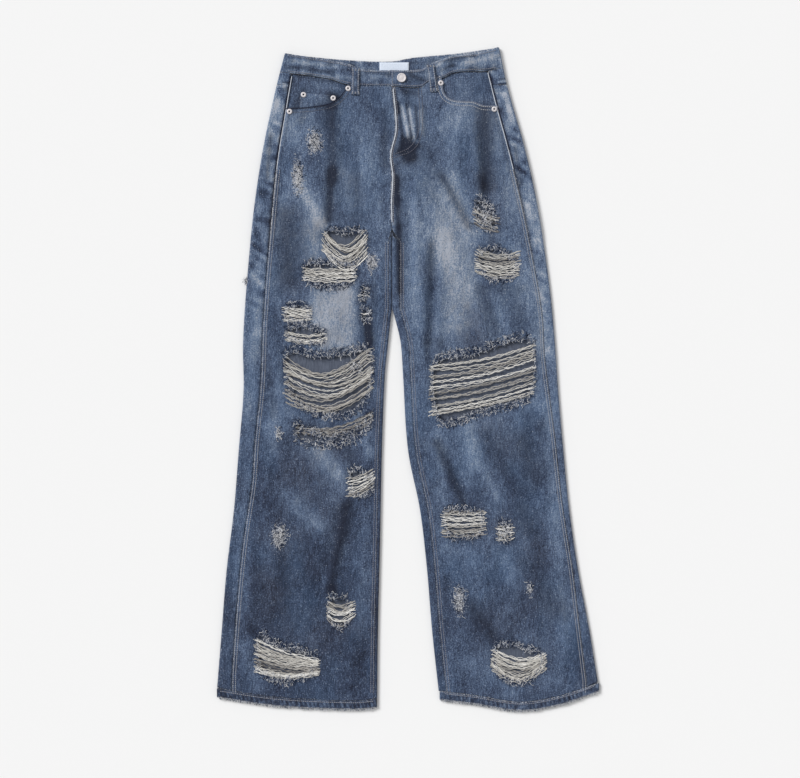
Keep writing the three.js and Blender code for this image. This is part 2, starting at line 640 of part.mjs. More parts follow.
add('back_pocket_right', backPocket(BACK_POCKET.right), INDIGO_DARK);
add('back_pocket_left', backPocket(BACK_POCKET.left), INDIGO_DARK);
add('size_label', sizeLabel(), COTTON_WHITE);
add('waist_button', button(), NICKEL, METAL_LOOK);
RIVETS.forEach(([x, y, layers], i) => {
  add(`rivet_${i + 1}`, rivet(x, y, face(x, y) - layers * LAYER), NICKEL, METAL_LOOK);
});

export default group;
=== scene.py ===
# %% [markdown]
# # Ripped wide-leg jeans, laid flat
# This lesson rebuilds one pair of worn, torn jeans lying on a pale floor with the front up.
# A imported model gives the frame: where every panel, hem and rivet lies. Each plain solid in it is
# replaced here by cloth with folds, tears, loose yarns, stitches and wear.

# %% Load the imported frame
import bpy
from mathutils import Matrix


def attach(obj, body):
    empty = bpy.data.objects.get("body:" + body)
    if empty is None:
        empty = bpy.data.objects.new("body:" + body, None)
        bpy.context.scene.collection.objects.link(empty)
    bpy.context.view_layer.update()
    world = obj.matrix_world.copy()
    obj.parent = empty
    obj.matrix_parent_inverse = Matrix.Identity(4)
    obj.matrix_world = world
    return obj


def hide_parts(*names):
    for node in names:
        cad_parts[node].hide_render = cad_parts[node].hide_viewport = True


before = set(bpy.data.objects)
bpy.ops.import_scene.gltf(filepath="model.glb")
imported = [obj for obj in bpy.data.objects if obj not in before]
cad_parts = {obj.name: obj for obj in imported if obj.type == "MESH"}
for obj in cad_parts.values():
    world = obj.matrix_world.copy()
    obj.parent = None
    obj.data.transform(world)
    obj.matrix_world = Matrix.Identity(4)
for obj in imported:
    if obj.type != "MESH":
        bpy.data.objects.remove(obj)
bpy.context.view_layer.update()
print("nodes in the frame:", len(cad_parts))

# %% Libraries and units
import math

import bpy
import numpy as np

MM = 0.001
chance = np.random.default_rng(41)

# %% [markdown]
# ## Camera, floor and light
# The jeans are seen from straight above. A long lens held high keeps both legs free of perspective.
# Soft daylight from the upper left shows the folds, and an even surround fills their shadows.

# %% Colours and looks
def srgb(red, green, blue):
    """A display colour of 0 to 255 a channel, as the linear colour that shaders read."""
    shares = [value / 255 for value in (red, green, blue)]
    linear = [s / 12.92 if s <= 0.04045 else ((s + 0.055) / 1.055) ** 2.4 for s in shares]
    return (*linear, 1.0)


def new_look(name, roughness=0.5):
    """A new material, its node tree and its Principled shader."""
    material = bpy.data.materials.new(name)
    material.use_nodes = True
    body = material.node_tree.nodes["Principled BSDF"]
    body.inputs["Roughness"].default_value = roughness
    return material, material.node_tree, body


# %% Camera above the middle of the jeans
EYE_HEIGHT = 3.2
JEANS_MIDDLE = (-0.0132, -0.0165)
scene = bpy.context.scene
scene.view_settings.view_transform = "Standard"
eye = bpy.data.cameras.new("eye")
eye.sensor_width = 36.0
eye.lens = 87.3
eye.clip_end = 20.0
eye_object = bpy.data.objects.new("eye", eye)
eye_object.location = (*JEANS_MIDDLE, EYE_HEIGHT)
scene.collection.objects.link(eye_object)
scene.camera = eye_object

# %% Daylight and floor
SURROUND_STRENGTH = 0.52
DAYLIGHT_STRENGTH = 2.5
FLOOR_REACH = 40.0
FLOOR_CLEARANCE = 0.0004

surround = bpy.data.worlds.new("surround")
surround.use_nodes = True
sky = surround.node_tree.nodes["Background"]
sky.inputs["Color"].default_value = (1.0, 1.0, 1.0, 1.0)
sky.inputs["Strength"].default_value = SURROUND_STRENGTH
scene.world = surround

daylight = bpy.data.lights.new("window_light", "SUN")
daylight.energy = DAYLIGHT_STRENGTH
daylight.angle = math.radians(24)
daylight_object = bpy.data.objects.new("window_light", daylight)
daylight_object.rotation_euler = (0.0, math.radians(-50), math.radians(-38))
scene.collection.objects.link(daylight_object)

floor_mesh = bpy.data.meshes.new("floor")
floor_corners = [(x * FLOOR_REACH, y * FLOOR_REACH, 0) for x, y in ((-1, -1), (1, -1), (1, 1), (-1, 1))]
floor_mesh.from_pydata(floor_corners, [], [(0, 1, 2, 3)])
floor = bpy.data.objects.new("floor", floor_mesh)
floor.location.z = -FLOOR_CLEARANCE
scene.collection.objects.link(floor)
paper, _, paper_body = new_look("pale_paper", 0.95)
paper_body.inputs["Base Color"].default_value = srgb(242, 242, 242)
floor_mesh.materials.append(paper)
print("camera, floor and daylight placed")

# %% [markdown]
# ## The cutting lines
# A pattern maker draws seams as smooth lines through a few marks. `curve` does the same: it joins
# given marks with a smooth line, and both legs, the waistband and the hems read their edges from it.

# %% Smooth lines
def smoothstep(value, low, high):
    t = np.clip((value - low) / (high - low), 0, 1)
    return t * t * (3 - 2 * t)


def lerp(a, b, t):
    return a + (b - a) * t


def curve(marks):
    """A smooth line through [at, value] marks; past its ends it stays level."""
    at = np.array([m[0] for m in marks], float)
    value = np.array([m[1] for m in marks], float)
    before = np.maximum(np.arange(len(at)) - 1, 0)
    after = np.minimum(np.arange(len(at)) + 1, len(at) - 1)
    slope = (value[after] - value[before]) / (at[after] - at[before])

    def through(where):
        where = np.asarray(where, float)
        i = np.clip(np.searchsorted(at, where) - 1, 0, len(at) - 2)
        span = at[i + 1] - at[i]
        t = np.clip((where - at[i]) / span, 0, 1)
        ease = t * t * (3 - 2 * t)
        lead = t * (1 - t) ** 2 * slope[i] * span
        tail = t * t * (t - 1) * slope[i + 1] * span
        return value[i] + (value[i + 1] - value[i]) * ease + lead + tail

    return through


# %% Seams of the two legs, in millimetres
DENIM = 1.2
GAP = 0.3
FOLD_RADIUS = 3.0
LEG_FACE = 6.0
HIP_FACE = 8.0
SEAT_LIFT = 1.5
CENTRE = -26.4
CROTCH = 249.0
HEM_DEPTH = 14.0

fly_edge = curve([[CROTCH, CENTRE], [294, -27.2], [332, -25.2], [370, -28.5], [411, -19.8],
                  [483, -25.2], [507, -28]])
RIGHT = dict(
    side=-1,
    outer=curve([[-513, -315], [-414, -307], [-315, -299], [-216, -287], [-117, -279], [-18, -271],
                 [56, -272], [155, -266], [279, -254], [378, -239], [477, -218], [536, -203]]),
    outseam=curve([[-488, -290], [-365, -281], [-267, -271], [-173, -257], [-101, -252], [-13, -243],
                   [84, -239], [160, -234], [228, -228], [352, -216], [446, -201], [505, -191]]),
    inner_fold=curve([[-541, -51], [-414, -49.5], [-266, -46], [-117, -43], [7, -38], [56, -33],
                      [117, CENTRE - 0.2]]),
    inset=5.0,
    hem=curve([[-315, -524], [-218, -538], [-91, -544], [-51, -541]]),
)
LEFT = dict(
    side=1,
    outer=curve([[-513, 315], [-414, 299], [-315, 280.5], [-216, 266], [-117, 256], [-18, 247.5],
                 [56, 242.5], [155, 233], [279, 214.5], [378, 193], [477, 165], [546, 150]]),
    outseam=curve([[-497, 294], [-409, 283], [-318, 272], [-200, 254], [-96, 242.5], [33, 226],
                   [111, 221], [238, 198], [353, 172], [454, 145], [507, 131.5]]),
    inner_fold=curve([[-528, 52], [-414, 39.6], [-315, 31.4], [-216, 19.8], [-117, 0], [7, -8.3],
                      [56, -11.6], [81, -16.5], [117, CENTRE + 0.2]]),
    inset=13.0,
    hem=curve([[52, -528], [110, -535], [185, -546], [250, -536], [315, -514]]),
)
front_band_top = curve([[-203, 536], [-145, 527], [-97, 518], [-79, 510], [-26, 508], [20, 509],
                        [36, 518], [53, 525], [71, 531], [111, 536], [150, 546]])
front_band_bottom = curve([[-208, 505], [-134, 495], [-101, 485], [-81, 482.5], [-31, 482],
                           [20, 480], [36, 490], [56, 495], [78, 505], [132, 507], [155, 512]])
back_band_top = curve([[-203, 536], [-153, 530], [-96, 525], [-28, 523], [7, 529], [79, 536],
                       [129, 543], [150, 546]])


def back_band_bottom(x):
    return back_band_top(x) - 33.0


def underside(y):
    return SEAT_LIFT * smoothstep(y, 205, 255)


def inner_edge(leg, y):
    return np.where(np.asarray(y) < 117, leg["inner_fold"](y), CENTRE + leg["side"] * 0.2)


def curl(y):
    return 1 - smoothstep(y, 225, CROTCH)


print("leg width at the knee:", round(float(RIGHT["inner_fold"](0) - RIGHT["outer"](0))), "mm")

# %% [markdown]
# ## Folds
# Cloth that lies flat still remembers how it was worn. Each main crease is placed as a soft
# ridge or trough along a line, and a few slow waves keep the cloth between them from looking ironed.

# %% Folds pressed into the front
def stroke(x, y, x0, y0, x1, y1, width):
    """1 on a line from one mark to the other, falling softly to 0 a width or two away."""
    run_x, run_y = x1 - x0, y1 - y0
    span = run_x ** 2 + run_y ** 2
    t = np.clip(((x - x0) * run_x + (y - y0) * run_y) / max(span, 1e-6), 0, 1)
    away = np.hypot(x - x0 - t * run_x, y - y0 - t * run_y)
    return np.exp(-(away / width) ** 2)


def waves(x, y, seed, length, count=9):
    """A smooth random surface between about -1 and 1, made of slow waves in many directions."""
    draw = np.random.default_rng(seed)
    total = np.zeros(np.shape(x))
    for _ in range(count):
        turn = draw.uniform(0, math.tau)
        step = length * draw.uniform(0.6, 1.6)
        phase = math.tau * (x * math.cos(turn) + y * math.sin(turn)) / step
        total += np.sin(phase + draw.uniform(0, math.tau))
    return total / math.sqrt(count)


def beside(away, width):
    """1 on a line, falling softly to 0 a width or two away from it."""
    return np.exp(-(away / width) ** 2)


# %% The creases, each from x, y to x, y, then its width and height
FOLDS = [
    (-121, 470, -116, 380, 8, 2.6), (-116, 380, -118, 250, 9, 2.6), (-131, 450, -128, 260, 8, -2.0),
    (-158, 400, -150, 250, 12, 1.6), (-190, 380, -196, 200, 12, 1.8), (-206, 330, -212, 120, 9, -1.4),
    (-70, 430, -62, 300, 10, 1.8), (-82, 380, -80, 250, 9, -1.6), (-48, 300, -42, 120, 8, 1.8),
    (-66, 190, -58, 60, 9, 2.0), (-76, 170, -70, 40, 7, -1.4), (-150, 60, -90, 52, 8, 1.4),
    (-222, 60, -205, -60, 10, 1.8), (-165, -80, -108, -130, 9, 2.0), (-172, -96, -120, -150, 8, -1.8),
    (-225, -80, -180, -150, 10, 2.0), (-96, -200, -130, -325, 9, 2.6), (-106, -215, -140, -330, 8, -2.4),
    (-130, -330, -118, -356, 8, 2.0), (-70, -100, -62, -260, 9, 1.8), (-232, -150, -216, -320, 12, 1.8),
    (-190, -190, -175, -380, 14, 1.2), (-252, -260, -262, -420, 10, 1.4), (-78, -280, -90, -460, 12, 1.6),
    (-150, -400, -120, -500, 14, -1.2), (-260, -430, -275, -500, 8, 1.4),
    (122, 440, 132, 310, 9, -2.2), (108, 420, 118, 310, 8, 2.2), (146, 400, 160, 260, 10, 1.6),
    (40, 342, 101, 256, 9, 2.6), (34, 322, 90, 244, 8, -2.2), (70, 350, 90, 420, 10, 1.2),
    (44, 223, 38, 30, 8, -2.4), (54, 225, 50, 40, 8, 2.2), (30, 220, 26, 30, 8, 1.6),
    (0, 328, 6, 150, 8, -2.0), (12, 320, 14, 160, 7, 2.0), (-12, 300, -10, 160, 7, 1.2),
    (119, 149, 136, 80, 8, -2.0), (108, 145, 126, 76, 8, 1.8), (150, 130, 170, 70, 10, 1.4),
    (196, 200, 212, 40, 9, 1.6), (80, 210, 88, 90, 12, 1.2),
    (46, -100, 84, -202, 9, 2.4), (36, -110, 74, -206, 7, -1.8), (144, -112, 200, -178, 9, 2.2),
    (136, -122, 190, -188, 8, -1.8), (96, -90, 130, -160, 10, 1.4), (214, -60, 228, -200, 9, 1.6),
    (40, -230, 56, -360, 10, 1.6), (120, -270, 108, -400, 14, 1.4), (200, -240, 214, -400, 12, 1.6),
    (100, -385, 165, -440, 9, -1.4), (240, -300, 262, -450, 9, 1.4), (64, -420, 84, -510, 10, 1.2),
]


# %% Height of the front
DEEPEST_TROUGH = -2.4
HELD_FLAT, FREE = 4, 24


def face(x, y):
    """Height of the front's outer face. Its long edges, the band and the hem hold it flat."""
    x, y = np.broadcast_arrays(np.asarray(x, float), np.asarray(y, float))
    base = lerp(LEG_FACE, HIP_FACE, smoothstep(y, 205, 255))
    folds = 0.45 * waves(x, y * 0.6, 3, 46) + 0.22 * waves(x, y, 5, 17)
    for x0, y0, x1, y1, width, height in FOLDS:
        folds = folds + height * stroke(x, y, x0, y0, x1, y1, width)
    on_left = x > inner_edge(LEFT, y)
    outer = np.where(on_left, LEFT["outer"](y), RIGHT["outer"](y))
    inner = np.where(on_left, inner_edge(LEFT, y), inner_edge(RIGHT, y))
    from_outer = np.abs(x - outer)
    from_inner = np.where(y < CROTCH, np.abs(x - inner), 400.0)
    hold = smoothstep(np.minimum(from_outer, from_inner), HELD_FLAT, FREE)
    near_band = 1 - 0.75 * smoothstep(y, 455, 485)
    near_hem = smoothstep(y, -535, -490) * 0.7 + 0.3
    folds = np.maximum(folds * hold * near_band * near_hem, DEEPEST_TROUGH)
    seam = np.where(on_left, LEFT["outseam"](y), RIGHT["outseam"](y))
    rope = beside(np.abs(x - seam), 7.0) * (0.35 * np.sin((y + 0.8 * x) / 2.4) - 0.2)
    welt = 0.9 * np.exp(-((x - seam) / 1.6) ** 2)
    return base + folds + rope - welt


def face_normal(x, y):
    step = 0.8
    slope_x = (face(x + step, y) - face(x - step, y)) / (2 * step)
    slope_y = (face(x, y + step) - face(x, y - step)) / (2 * step)
    normal = np.stack([-slope_x, -slope_y, np.ones_like(slope_x)], -1)
    return normal / np.linalg.norm(normal, axis=-1, keepdims=True)


print(len(FOLDS), "folds placed")

# %% [markdown]
# ## Fading, dirt, and dark creases partly painted as shade
# Indigo sits on the outside of each yarn, so rubbing shows the white core: thighs and knees fade,
# and creases stay dark, partly from kept indigo and partly as painted shade. Soft strokes, listed in
# tables, give each point of the cloth its amount of each.

# %% Maps of fading, dirt, and kept indigo with painted crease shade
base_fade_right = curve([[-545, 0.36], [-400, 0.34], [-250, 0.36], [-130, 0.4], [-60, 0.44], [20, 0.48],
                         [160, 0.5], [300, 0.5], [420, 0.52], [480, 0.54]])
base_fade_left = curve([[-545, 0.44], [-400, 0.42], [-250, 0.45], [-140, 0.46], [-60, 0.5], [60, 0.54],
                        [200, 0.57], [340, 0.55], [420, 0.53], [480, 0.56]])

# %% Faded places, each from x, y to x, y, then its width and amount
FADES = [
    (-142, 146, -138, 62, 19, 0.34), (-106, 150, -102, 60, 19, 0.36), (-176, 318, -142, 256, 13, 0.3),
    (-158, 250, -152, 205, 18, 0.24), (-100, 340, -98, 285, 13, 0.14), (-196, 432, -200, 400, 18, 0.16),
    (-160, 430, -150, 400, 14, 0.1), (-206, 300, -216, 240, 8, 0.1), (-244, 200, -262, -60, 12, 0.12),
    (-66, 420, -52, 340, 16, 0.08), (-52, 300, -48, 250, 12, 0.1), (-222, 200, -214, 120, 10, 0.06),
    (-162, -104, -112, -158, 16, 0.2), (-203, -191, -150, -244, 14, 0.15), (-80, -60, -66, -120, 12, 0.18),
    (-150, -240, -146, -300, 14, 0.08), (-72, -220, -66, -400, 13, 0.1), (-262, -160, -284, -440, 13, 0.1),
    (-216, -20, -226, -120, 12, 0.14), (-256, -440, -250, -500, 16, 0.06), (-196, -60, -176, -64, 12, 0.08),
    (76, 330, 92, 256, 13, 0.2), (62, 240, 70, 90, 19, 0.2), (100, 236, 92, 90, 20, 0.2),
    (8, 300, 12, 90, 11, 0.1), (64, 420, 104, 440, 22, 0.14), (150, 452, 146, 380, 12, 0.12),
    (200, 300, 226, 40, 13, 0.14), (176, 330, 184, 260, 16, 0.1), (206, 60, 214, -40, 14, 0.16),
    (228, -40, 262, -440, 12, 0.1), (98, -74, 112, -140, 14, 0.18), (50, -90, 60, -200, 9, 0.1),
    (66, -280, 120, -300, 18, 0.08), (160, -290, 168, -330, 14, 0.08), (90, -470, 240, -500, 16, 0.08),
    (-10, 448, 2, 392, 4, 0.34), (2, 444, 10, 396, 3, 0.3), (20, 440, 22, 400, 3, 0.16),
    (124, -150, 150, -200, 8, 0.1), (40, 160, 30, 60, 6, -0.06), (-230, 440, -236, 380, 8, 0.12),
    (-200, 524, -118, 514, 4, 0.3), (-196, 507, -112, 494, 3, 0.22), (-116, 500, -92, 494, 3, 0.25),
    (70, 532, 118, 541, 4, 0.3), (96, 520, 146, 532, 4, 0.28), (44, 512, 66, 530, 3, 0.28),
    (-80, 512, -40, 508, 3, 0.2), (-60, 498, -36, 497, 3, 0.18), (-214, 466, -222, 420, 6, 0.22),
    (-224, 410, -232, 350, 5, 0.2), (160, 470, 168, 430, 6, 0.2), (170, 400, 180, 360, 5, 0.16),
    (-126, 120, -124, 66, 15, 0.14), (-160, 120, -160, 66, 12, 0.16), (-206, 478, -196, 477, 2, 0.3),
    (-206, 485, -196, 484, 2, 0.3), (150, 481, 166, 483, 2, 0.3), (150, 489, 166, 491, 2, 0.3),
    (22, 452, 26, 400, 3, 0.16), (-130, -70, -150, -90, 12, 0.1), (150, 40, 160, 60, 10, 0.1),
    (36, 322, 56, 210, 22, 0.15), (-142, -116, -120, -190, 24, 0.12), (102, 104, 106, 66, 18, -0.12),
    (176, 210, 190, 120, 18, 0.08), (-262, -440, -250, -500, 14, 0.1), (60, 300, 74, 262, 10, 0.08),
]

# %% Creases that kept their indigo, and painted shade along folds and seams
DYE_AND_SHADE = [
    (-124, 462, -124, 330, 10, 0.52), (-126, 340, -130, 262, 9, 0.62), (-140, 440, -138, 420, 14, 0.2),
    (-202, 270, -198, 165, 17, 0.4), (-170, 440, -176, 424, 8, 0.3), (-84, 330, -78, 262, 14, 0.16),
    (-40, 440, -36, 400, 8, 0.3), (-42, 390, -38, 352, 9, 0.36), (-18, 330, -14, 145, 6, 0.6),
    (-66, 92, -64, 52, 7, 0.5), (-60, 150, -56, 120, 8, 0.25), (126, 440, 130, 318, 15, 0.52),
    (118, 330, 124, 296, 10, 0.3), (56, 334, 99, 252, 8, 0.42), (34, 380, 40, 300, 14, 0.2),
    (38, 218, 34, 62, 11, 0.34), (136, 240, 140, 214, 8, 0.3), (122, 150, 146, 76, 9, 0.34),
    (160, 150, 196, 80, 18, 0.2), (130, 152, 190, 150, 10, 0.14), (-4, 386, 8, 366, 10, 0.75),
    (-16, 374, 18, 384, 6, 0.5), (24, 450, 26, 400, 5, 0.3), (-4, 470, 2, 450, 6, 0.3),
    (-160, -70, -214, -110, 14, 0.2), (-100, -110, -88, -150, 9, 0.26), (-98, -202, -128, -345, 10, 0.56),
    (-112, -210, -134, -300, 12, 0.25), (-208, -300, -230, -420, 18, 0.16),
    (-258, -412, -238, -436, 8, 0.36),
    (-126, -345, -118, -360, 7, 0.5), (-100, -430, -80, -500, 18, 0.12), (-238, 60, -220, -60, 8, 0.2),
    (47, -106, 92, -208, 9, 0.48), (130, -90, 160, -150, 12, 0.26), (190, -100, 210, -160, 20, 0.34),
    (190, -216, 196, -248, 14, 0.34), (194, -300, 246, -380, 17, 0.28), (104, -374, 156, -448, 13, 0.46),
    (176, -170, 190, -190, 12, 0.2), (-150, 250, -146, 240, 10, 0.2), (60, -400, 52, -470, 10, 0.12),
    (196, -60, 216, -80, 12, 0.2), (30, 60, 44, -40, 7, 0.2), (-240, -300, -256, -380, 8, 0.1),
    (-16, 454, -9, 396, 3, 0.5), (-3, 452, 6, 396, 2.2, 0.5), (13, 448, 16, 396, 3, 0.5),
    (0, 390, -4, 362, 12, 0.5),
    (-24, 476, -18, 440, 5, 0.6), (-10, 476, 12, 470, 6, 0.4), (-22, 350, -20, 290, 7, 0.45),
    (-200, 515, -130, 505, 3, 0.34), (-180, 499, -118, 489, 3, 0.34), (60, 522, 112, 533, 3, 0.34),
    (50, 505, 74, 517, 3, 0.4), (4, 500, 28, 490, 4, 0.4), (100, 511, 144, 510, 3, 0.42),
    (-56, 503, -30, 501, 2, 0.3),
    (-206, 481, -196, 480, 1.6, 0.6), (-206, 488, -196, 487, 1.6, 0.5), (150, 485, 166, 487, 1.6, 0.6),
    (150, 493, 166, 495, 1.6, 0.5), (-205, 474, -198, 473, 1.6, 0.5), (-172, 474, -190, 440, 6, 0.4),
    (-150, 448, -120, 448, 5, 0.3), (-130, 470, -112, 462, 7, 0.35), (-68, 100, -64, 62, 9, 0.6),
    (-172, 66, -140, 60, 5, 0.3), (-226, 400, -232, 330, 4, 0.4), (176, 380, 186, 320, 4, 0.35),
    (-14, 250, -12, 120, 5, 0.35), (52, 60, 40, -20, 8, 0.3), (-216, 330, -226, 240, 4, 0.2),
]

# %% Dirty places
DIRTS = [
    (-162, 250, -152, 200, 22, 0.75), (-124, 150, -112, 60, 36, 0.85), (-204, 270, -196, 160, 24, 0.6),
    (-96, 330, -90, 270, 20, 0.5), (70, 250, 90, 90, 34, 0.55), (112, 440, 132, 320, 22, 0.6),
    (110, 460, 150, 440, 16, 0.5), (-150, -80, -120, -200, 46, 0.35), (90, -60, 190, -120, 30, 0.4),
    (-100, -400, -200, -460, 40, 0.35), (-20, 380, 20, 350, 20, 0.3), (120, -230, 200, -260, 40, 0.35),
    (140, -390, 200, -460, 40, 0.35), (200, -340, 240, -380, 26, 0.35), (-180, -200, -220, -360, 50, 0.3),
    (150, 300, 140, 210, 16, 0.3), (96, 104, 116, 62, 26, 0.8), (-130, -120, -200, -150, 30, 0.3),
]


# %% The maps, read at any point
FADE_GAIN = 1.2
DYE_AND_SHADE_GAIN = 1.3
MOST_DYE_AND_SHADE = 0.95


def sum_strokes(x, y, table):
    total = np.zeros(np.shape(x))
    for x0, y0, x1, y1, width, amount in table:
        total = total + amount * stroke(x, y, x0, y0, x1, y1, width)
    return total


def fade_at(x, y):
    on_left = x > inner_edge(LEFT, y)
    base = np.where(on_left, base_fade_left(y), base_fade_right(y))
    return base + FADE_GAIN * sum_strokes(x, y, FADES) + 0.04 * waves(x, y * 0.5, 8, 60)


# Kept indigo and painted shade in the creases, as one amount.
def dye_and_shade_at(x, y):
    return np.clip(DYE_AND_SHADE_GAIN * sum_strokes(x, y, DYE_AND_SHADE), 0, MOST_DYE_AND_SHADE)


def dirt_at(x, y):
    return np.clip(sum_strokes(x, y, DIRTS) + 0.08 * waves(x, y, 12, 90), 0, 1)


print(len(FADES), "faded places,", len(DYE_AND_SHADE), "dark creases,", len(DIRTS), "dirty places")

# %% [markdown]
# ## Tears
# A tear cuts the upright indigo warp and leaves the ecru cross threads hanging. Each tear is an
# outline, four corners for its cross threads to run between, and how far those threads sag.

# %% Where the tears are
# The ten numbers of the threads: y of the lowest and highest on the left, then on the right; x of
# the left and right ends; groups; threads in a group; sag of the lowest and of the highest.
# A soiled tear has darker threads.
TEARS = dict(
    thigh_right_upper=dict(
        leg="right", outline=[[-134, 240], [-120, 243], [-104, 238], [-88, 243], [-72, 236], [-74, 208],
                              [-92, 190], [-108, 196], [-128, 212]],
        threads=(208, 246, 205, 246, -140, -68, 9, 4, 27, 27)),
    thigh_right_lower=dict(
        leg="right", outline=[[-168, 186], [-128, 188], [-90, 180], [-96, 160], [-140, 156], [-166, 166]],
        threads=(162, 184, 160, 182, -172, -86, 6, 3, 3, 1)),
    side_right=dict(
        leg="right", outline=[[-200, 116], [-176, 120], [-162, 108], [-176, 98], [-198, 100]],
        threads=(96, 120, 98, 116, -206, -160, 6, 3, 2, 1)),
    over_knee_right=dict(
        leg="right", outline=[[-198, 82], [-166, 84], [-138, 74], [-146, 62], [-190, 68]],
        threads=(60, 84, 60, 78, -202, -134, 3, 4, 7, 4)),
    knee_right=dict(
        leg="right", outline=[[-198, 42], [-160, 36], [-110, 38], [-66, 46], [-60, 10], [-78, -40],
                              [-122, -56], [-178, -36], [-198, 2]],
        threads=(-36, 42, -22, 52, -204, -58, 15, 3, 29, 31)),
    shin_right=dict(
        leg="right", outline=[[-182, -76], [-152, -82], [-120, -90], [-92, -80], [-66, -60], [-64, -72],
                              [-92, -94], [-128, -102], [-176, -98]],
        threads=(-92, -74, -70, -54, -184, -60, 5, 2, 12, 14), soiled=0.4),
    inner_right=dict(
        leg="right", outline=[[-94, -152], [-70, -158], [-58, -176], [-78, -190], [-92, -176]],
        threads=(-196, -164, -176, -148, -100, -56, 7, 3, 5, 3)),
    calf_right=dict(
        leg="right", outline=[[-128, -362], [-104, -366], [-96, -390], [-112, -408], [-128, -390]],
        threads=(-396, -362, -396, -364, -132, -88, 8, 3, 12, 8)),
    ankle_right=dict(
        leg="right", outline=[[-246, -424], [-226, -434], [-204, -446], [-160, -456], [-156, -476],
                              [-192, -490], [-240, -478]],
        threads=(-482, -428, -488, -462, -252, -147, 11, 4, 9, 5)),
    knee_left=dict(
        leg="left", outline=[[44, 22], [110, 40], [198, 62], [200, -22], [140, -44], [72, -66], [50, -58]],
        threads=(-66, 27, -26, 64, 36, 208, 10, 4, 3, 9)),
    thigh_left_hole=dict(
        leg="left", outline=[[112, 288], [126, 294], [136, 278], [144, 256], [136, 246], [122, 264]],
        threads=(256, 284, 240, 268, 108, 150, 5, 3, 3, 2), soiled=0.35),
    thigh_left=dict(
        leg="left", outline=[[118, 206], [146, 212], [176, 192], [170, 170], [140, 166], [122, 182]],
        threads=(174, 214, 168, 212, 112, 184, 10, 3, 7, 7), soiled=0.12),
    shin_left=dict(
        leg="left", outline=[[62, -220], [96, -217], [120, -226], [116, -254], [72, -256]],
        threads=(-260, -214, -256, -216, 56, 128, 9, 3, 3, 2)),
    shin_left_small=dict(
        leg="left", outline=[[150, -242], [164, -240], [168, -256], [156, -264]],
        threads=(-264, -240, -262, -242, 146, 174, 5, 3, 3, 2)),
    ankle_left=dict(
        leg="left", outline=[[144, -446], [164, -438], [184, -442], [220, -456], [212, -482], [180, -498],
                             [150, -482]],
        threads=(-480, -444, -476, -450, 138, 226, 10, 4, 24, 14)),
    slit_upper=dict(
        leg="right", outline=[[-72, 150], [-66, 148], [-70, 136], [-78, 128], [-77, 138]],
        threads=(132, 140, 134, 144, -80, -66, 1, 2, 1, 1)),
    slit_lower=dict(
        leg="right", outline=[[-74, 114], [-64, 112], [-62, 102], [-70, 96], [-76, 104]],
        threads=(106, 110, 106, 112, -78, -62, 1, 2, 1, 1)),
)

# Rubbed places with no hole: x, y, half width, half height, strength
RUBBED = [
    (-154, 390, 13, 19, 0.9), (-182, 332, 9, 30, 0.85), (-60, 192, 9, 15, 1.0), (-72, 138, 8, 13, 0.3),
    (-66, 102, 7, 12, 0.3), (-214, -90, 6, 12, 0.6), (-212, -260, 13, 20, 0.85), (126, 270, 20, 26, 0.6),
    (84, -364, 10, 24, 0.85), (200, -346, 6, 12, 0.6), (-86, 20, 14, 12, 0.7), (158, -250, 14, 20, 0.5),
]


# %% Outlines and the distance to them
def between(before, start, end, after, t):
    """A point on the smooth line from start to end, bent by the marks before and after them."""
    bend = (2 * before - 5 * start + 4 * end - after) * t ** 2
    twist = (3 * start - before - 3 * end + after) * t ** 3
    return 0.5 * (2 * start + (end - before) * t + bend + twist)


def rounded(outline, steps=8):
    """A closed smooth outline through its marks."""
    marks = np.array(outline, float)
    before, end, after = np.roll(marks, 1, 0), np.roll(marks, -1, 0), np.roll(marks, -2, 0)
    rows = [between(before, marks, end, after, t) for t in np.arange(steps) / steps]
    return np.stack(rows, 1).reshape(-1, 2)


def outside(x, y, outline):
    """Distance to an outline, positive outside it and negative inside."""
    a = outline
    b = np.roll(outline, -1, 0)
    nearest = np.full(np.shape(x), 1e9)
    inside = np.zeros(np.shape(x), bool)
    for (ax, ay), (bx, by) in zip(a, b):
        run_x, run_y = bx - ax, by - ay
        t = np.clip(((x - ax) * run_x + (y - ay) * run_y) / (run_x ** 2 + run_y ** 2 + 1e-9), 0, 1)
        nearest = np.minimum(nearest, np.hypot(x - ax - t * run_x, y - ay - t * run_y))
        crosses = (ay > y) != (by > y)
        with np.errstate(divide="ignore", invalid="ignore"):
            where = ax + (y - ay) * run_x / run_y
        inside ^= crosses & (x < where)
    return np.where(inside, -nearest, nearest)


for tear in TEARS.values():
    tear["edge"] = rounded(tear["outline"])


# %% How far a point is from a tear, and what wear that gives it
def torn(x, y, leg_name):
    """Distance to the nearest tear of a leg, with a ragged edge."""
    nearest = np.full(np.shape(x), 200.0)
    for tear in TEARS.values():
        if tear["leg"] == leg_name:
            nearest = np.minimum(nearest, outside(x, y, tear["edge"]))
    return nearest + 0.8 * waves(x, y, 21, 8) * (nearest < 12)


def fringe_shade(x, y, leg_name):
    """Darkening in a soft band all round each tear, fading out about 9 mm from its edge."""
    away = torn(x, y, leg_name)
    return 0.5 * np.exp(-(np.maximum(away, 0) / 9.0) ** 2)


def rubbed_at(x, y, leg_name):
    away = torn(x, y, leg_name)
    total = 0.42 * np.exp(-np.maximum(away, 0) / 3.0)
    for px, py, wide, high, strength in RUBBED:
        total = np.maximum(total, strength * np.exp(-((x - px) / wide) ** 2 - ((y - py) / high) ** 2))
    return np.clip(total, 0, 1)


print(len(TEARS), "tears and", len(RUBBED), "rubbed places")

# %% [markdown]
# ## Denim, as a shader
# Denim is a twill: white and indigo yarns cross on a fine diagonal. Shared node groups hold what all
# the denim has in common, so that every panel differs only in the amounts its mesh carries.

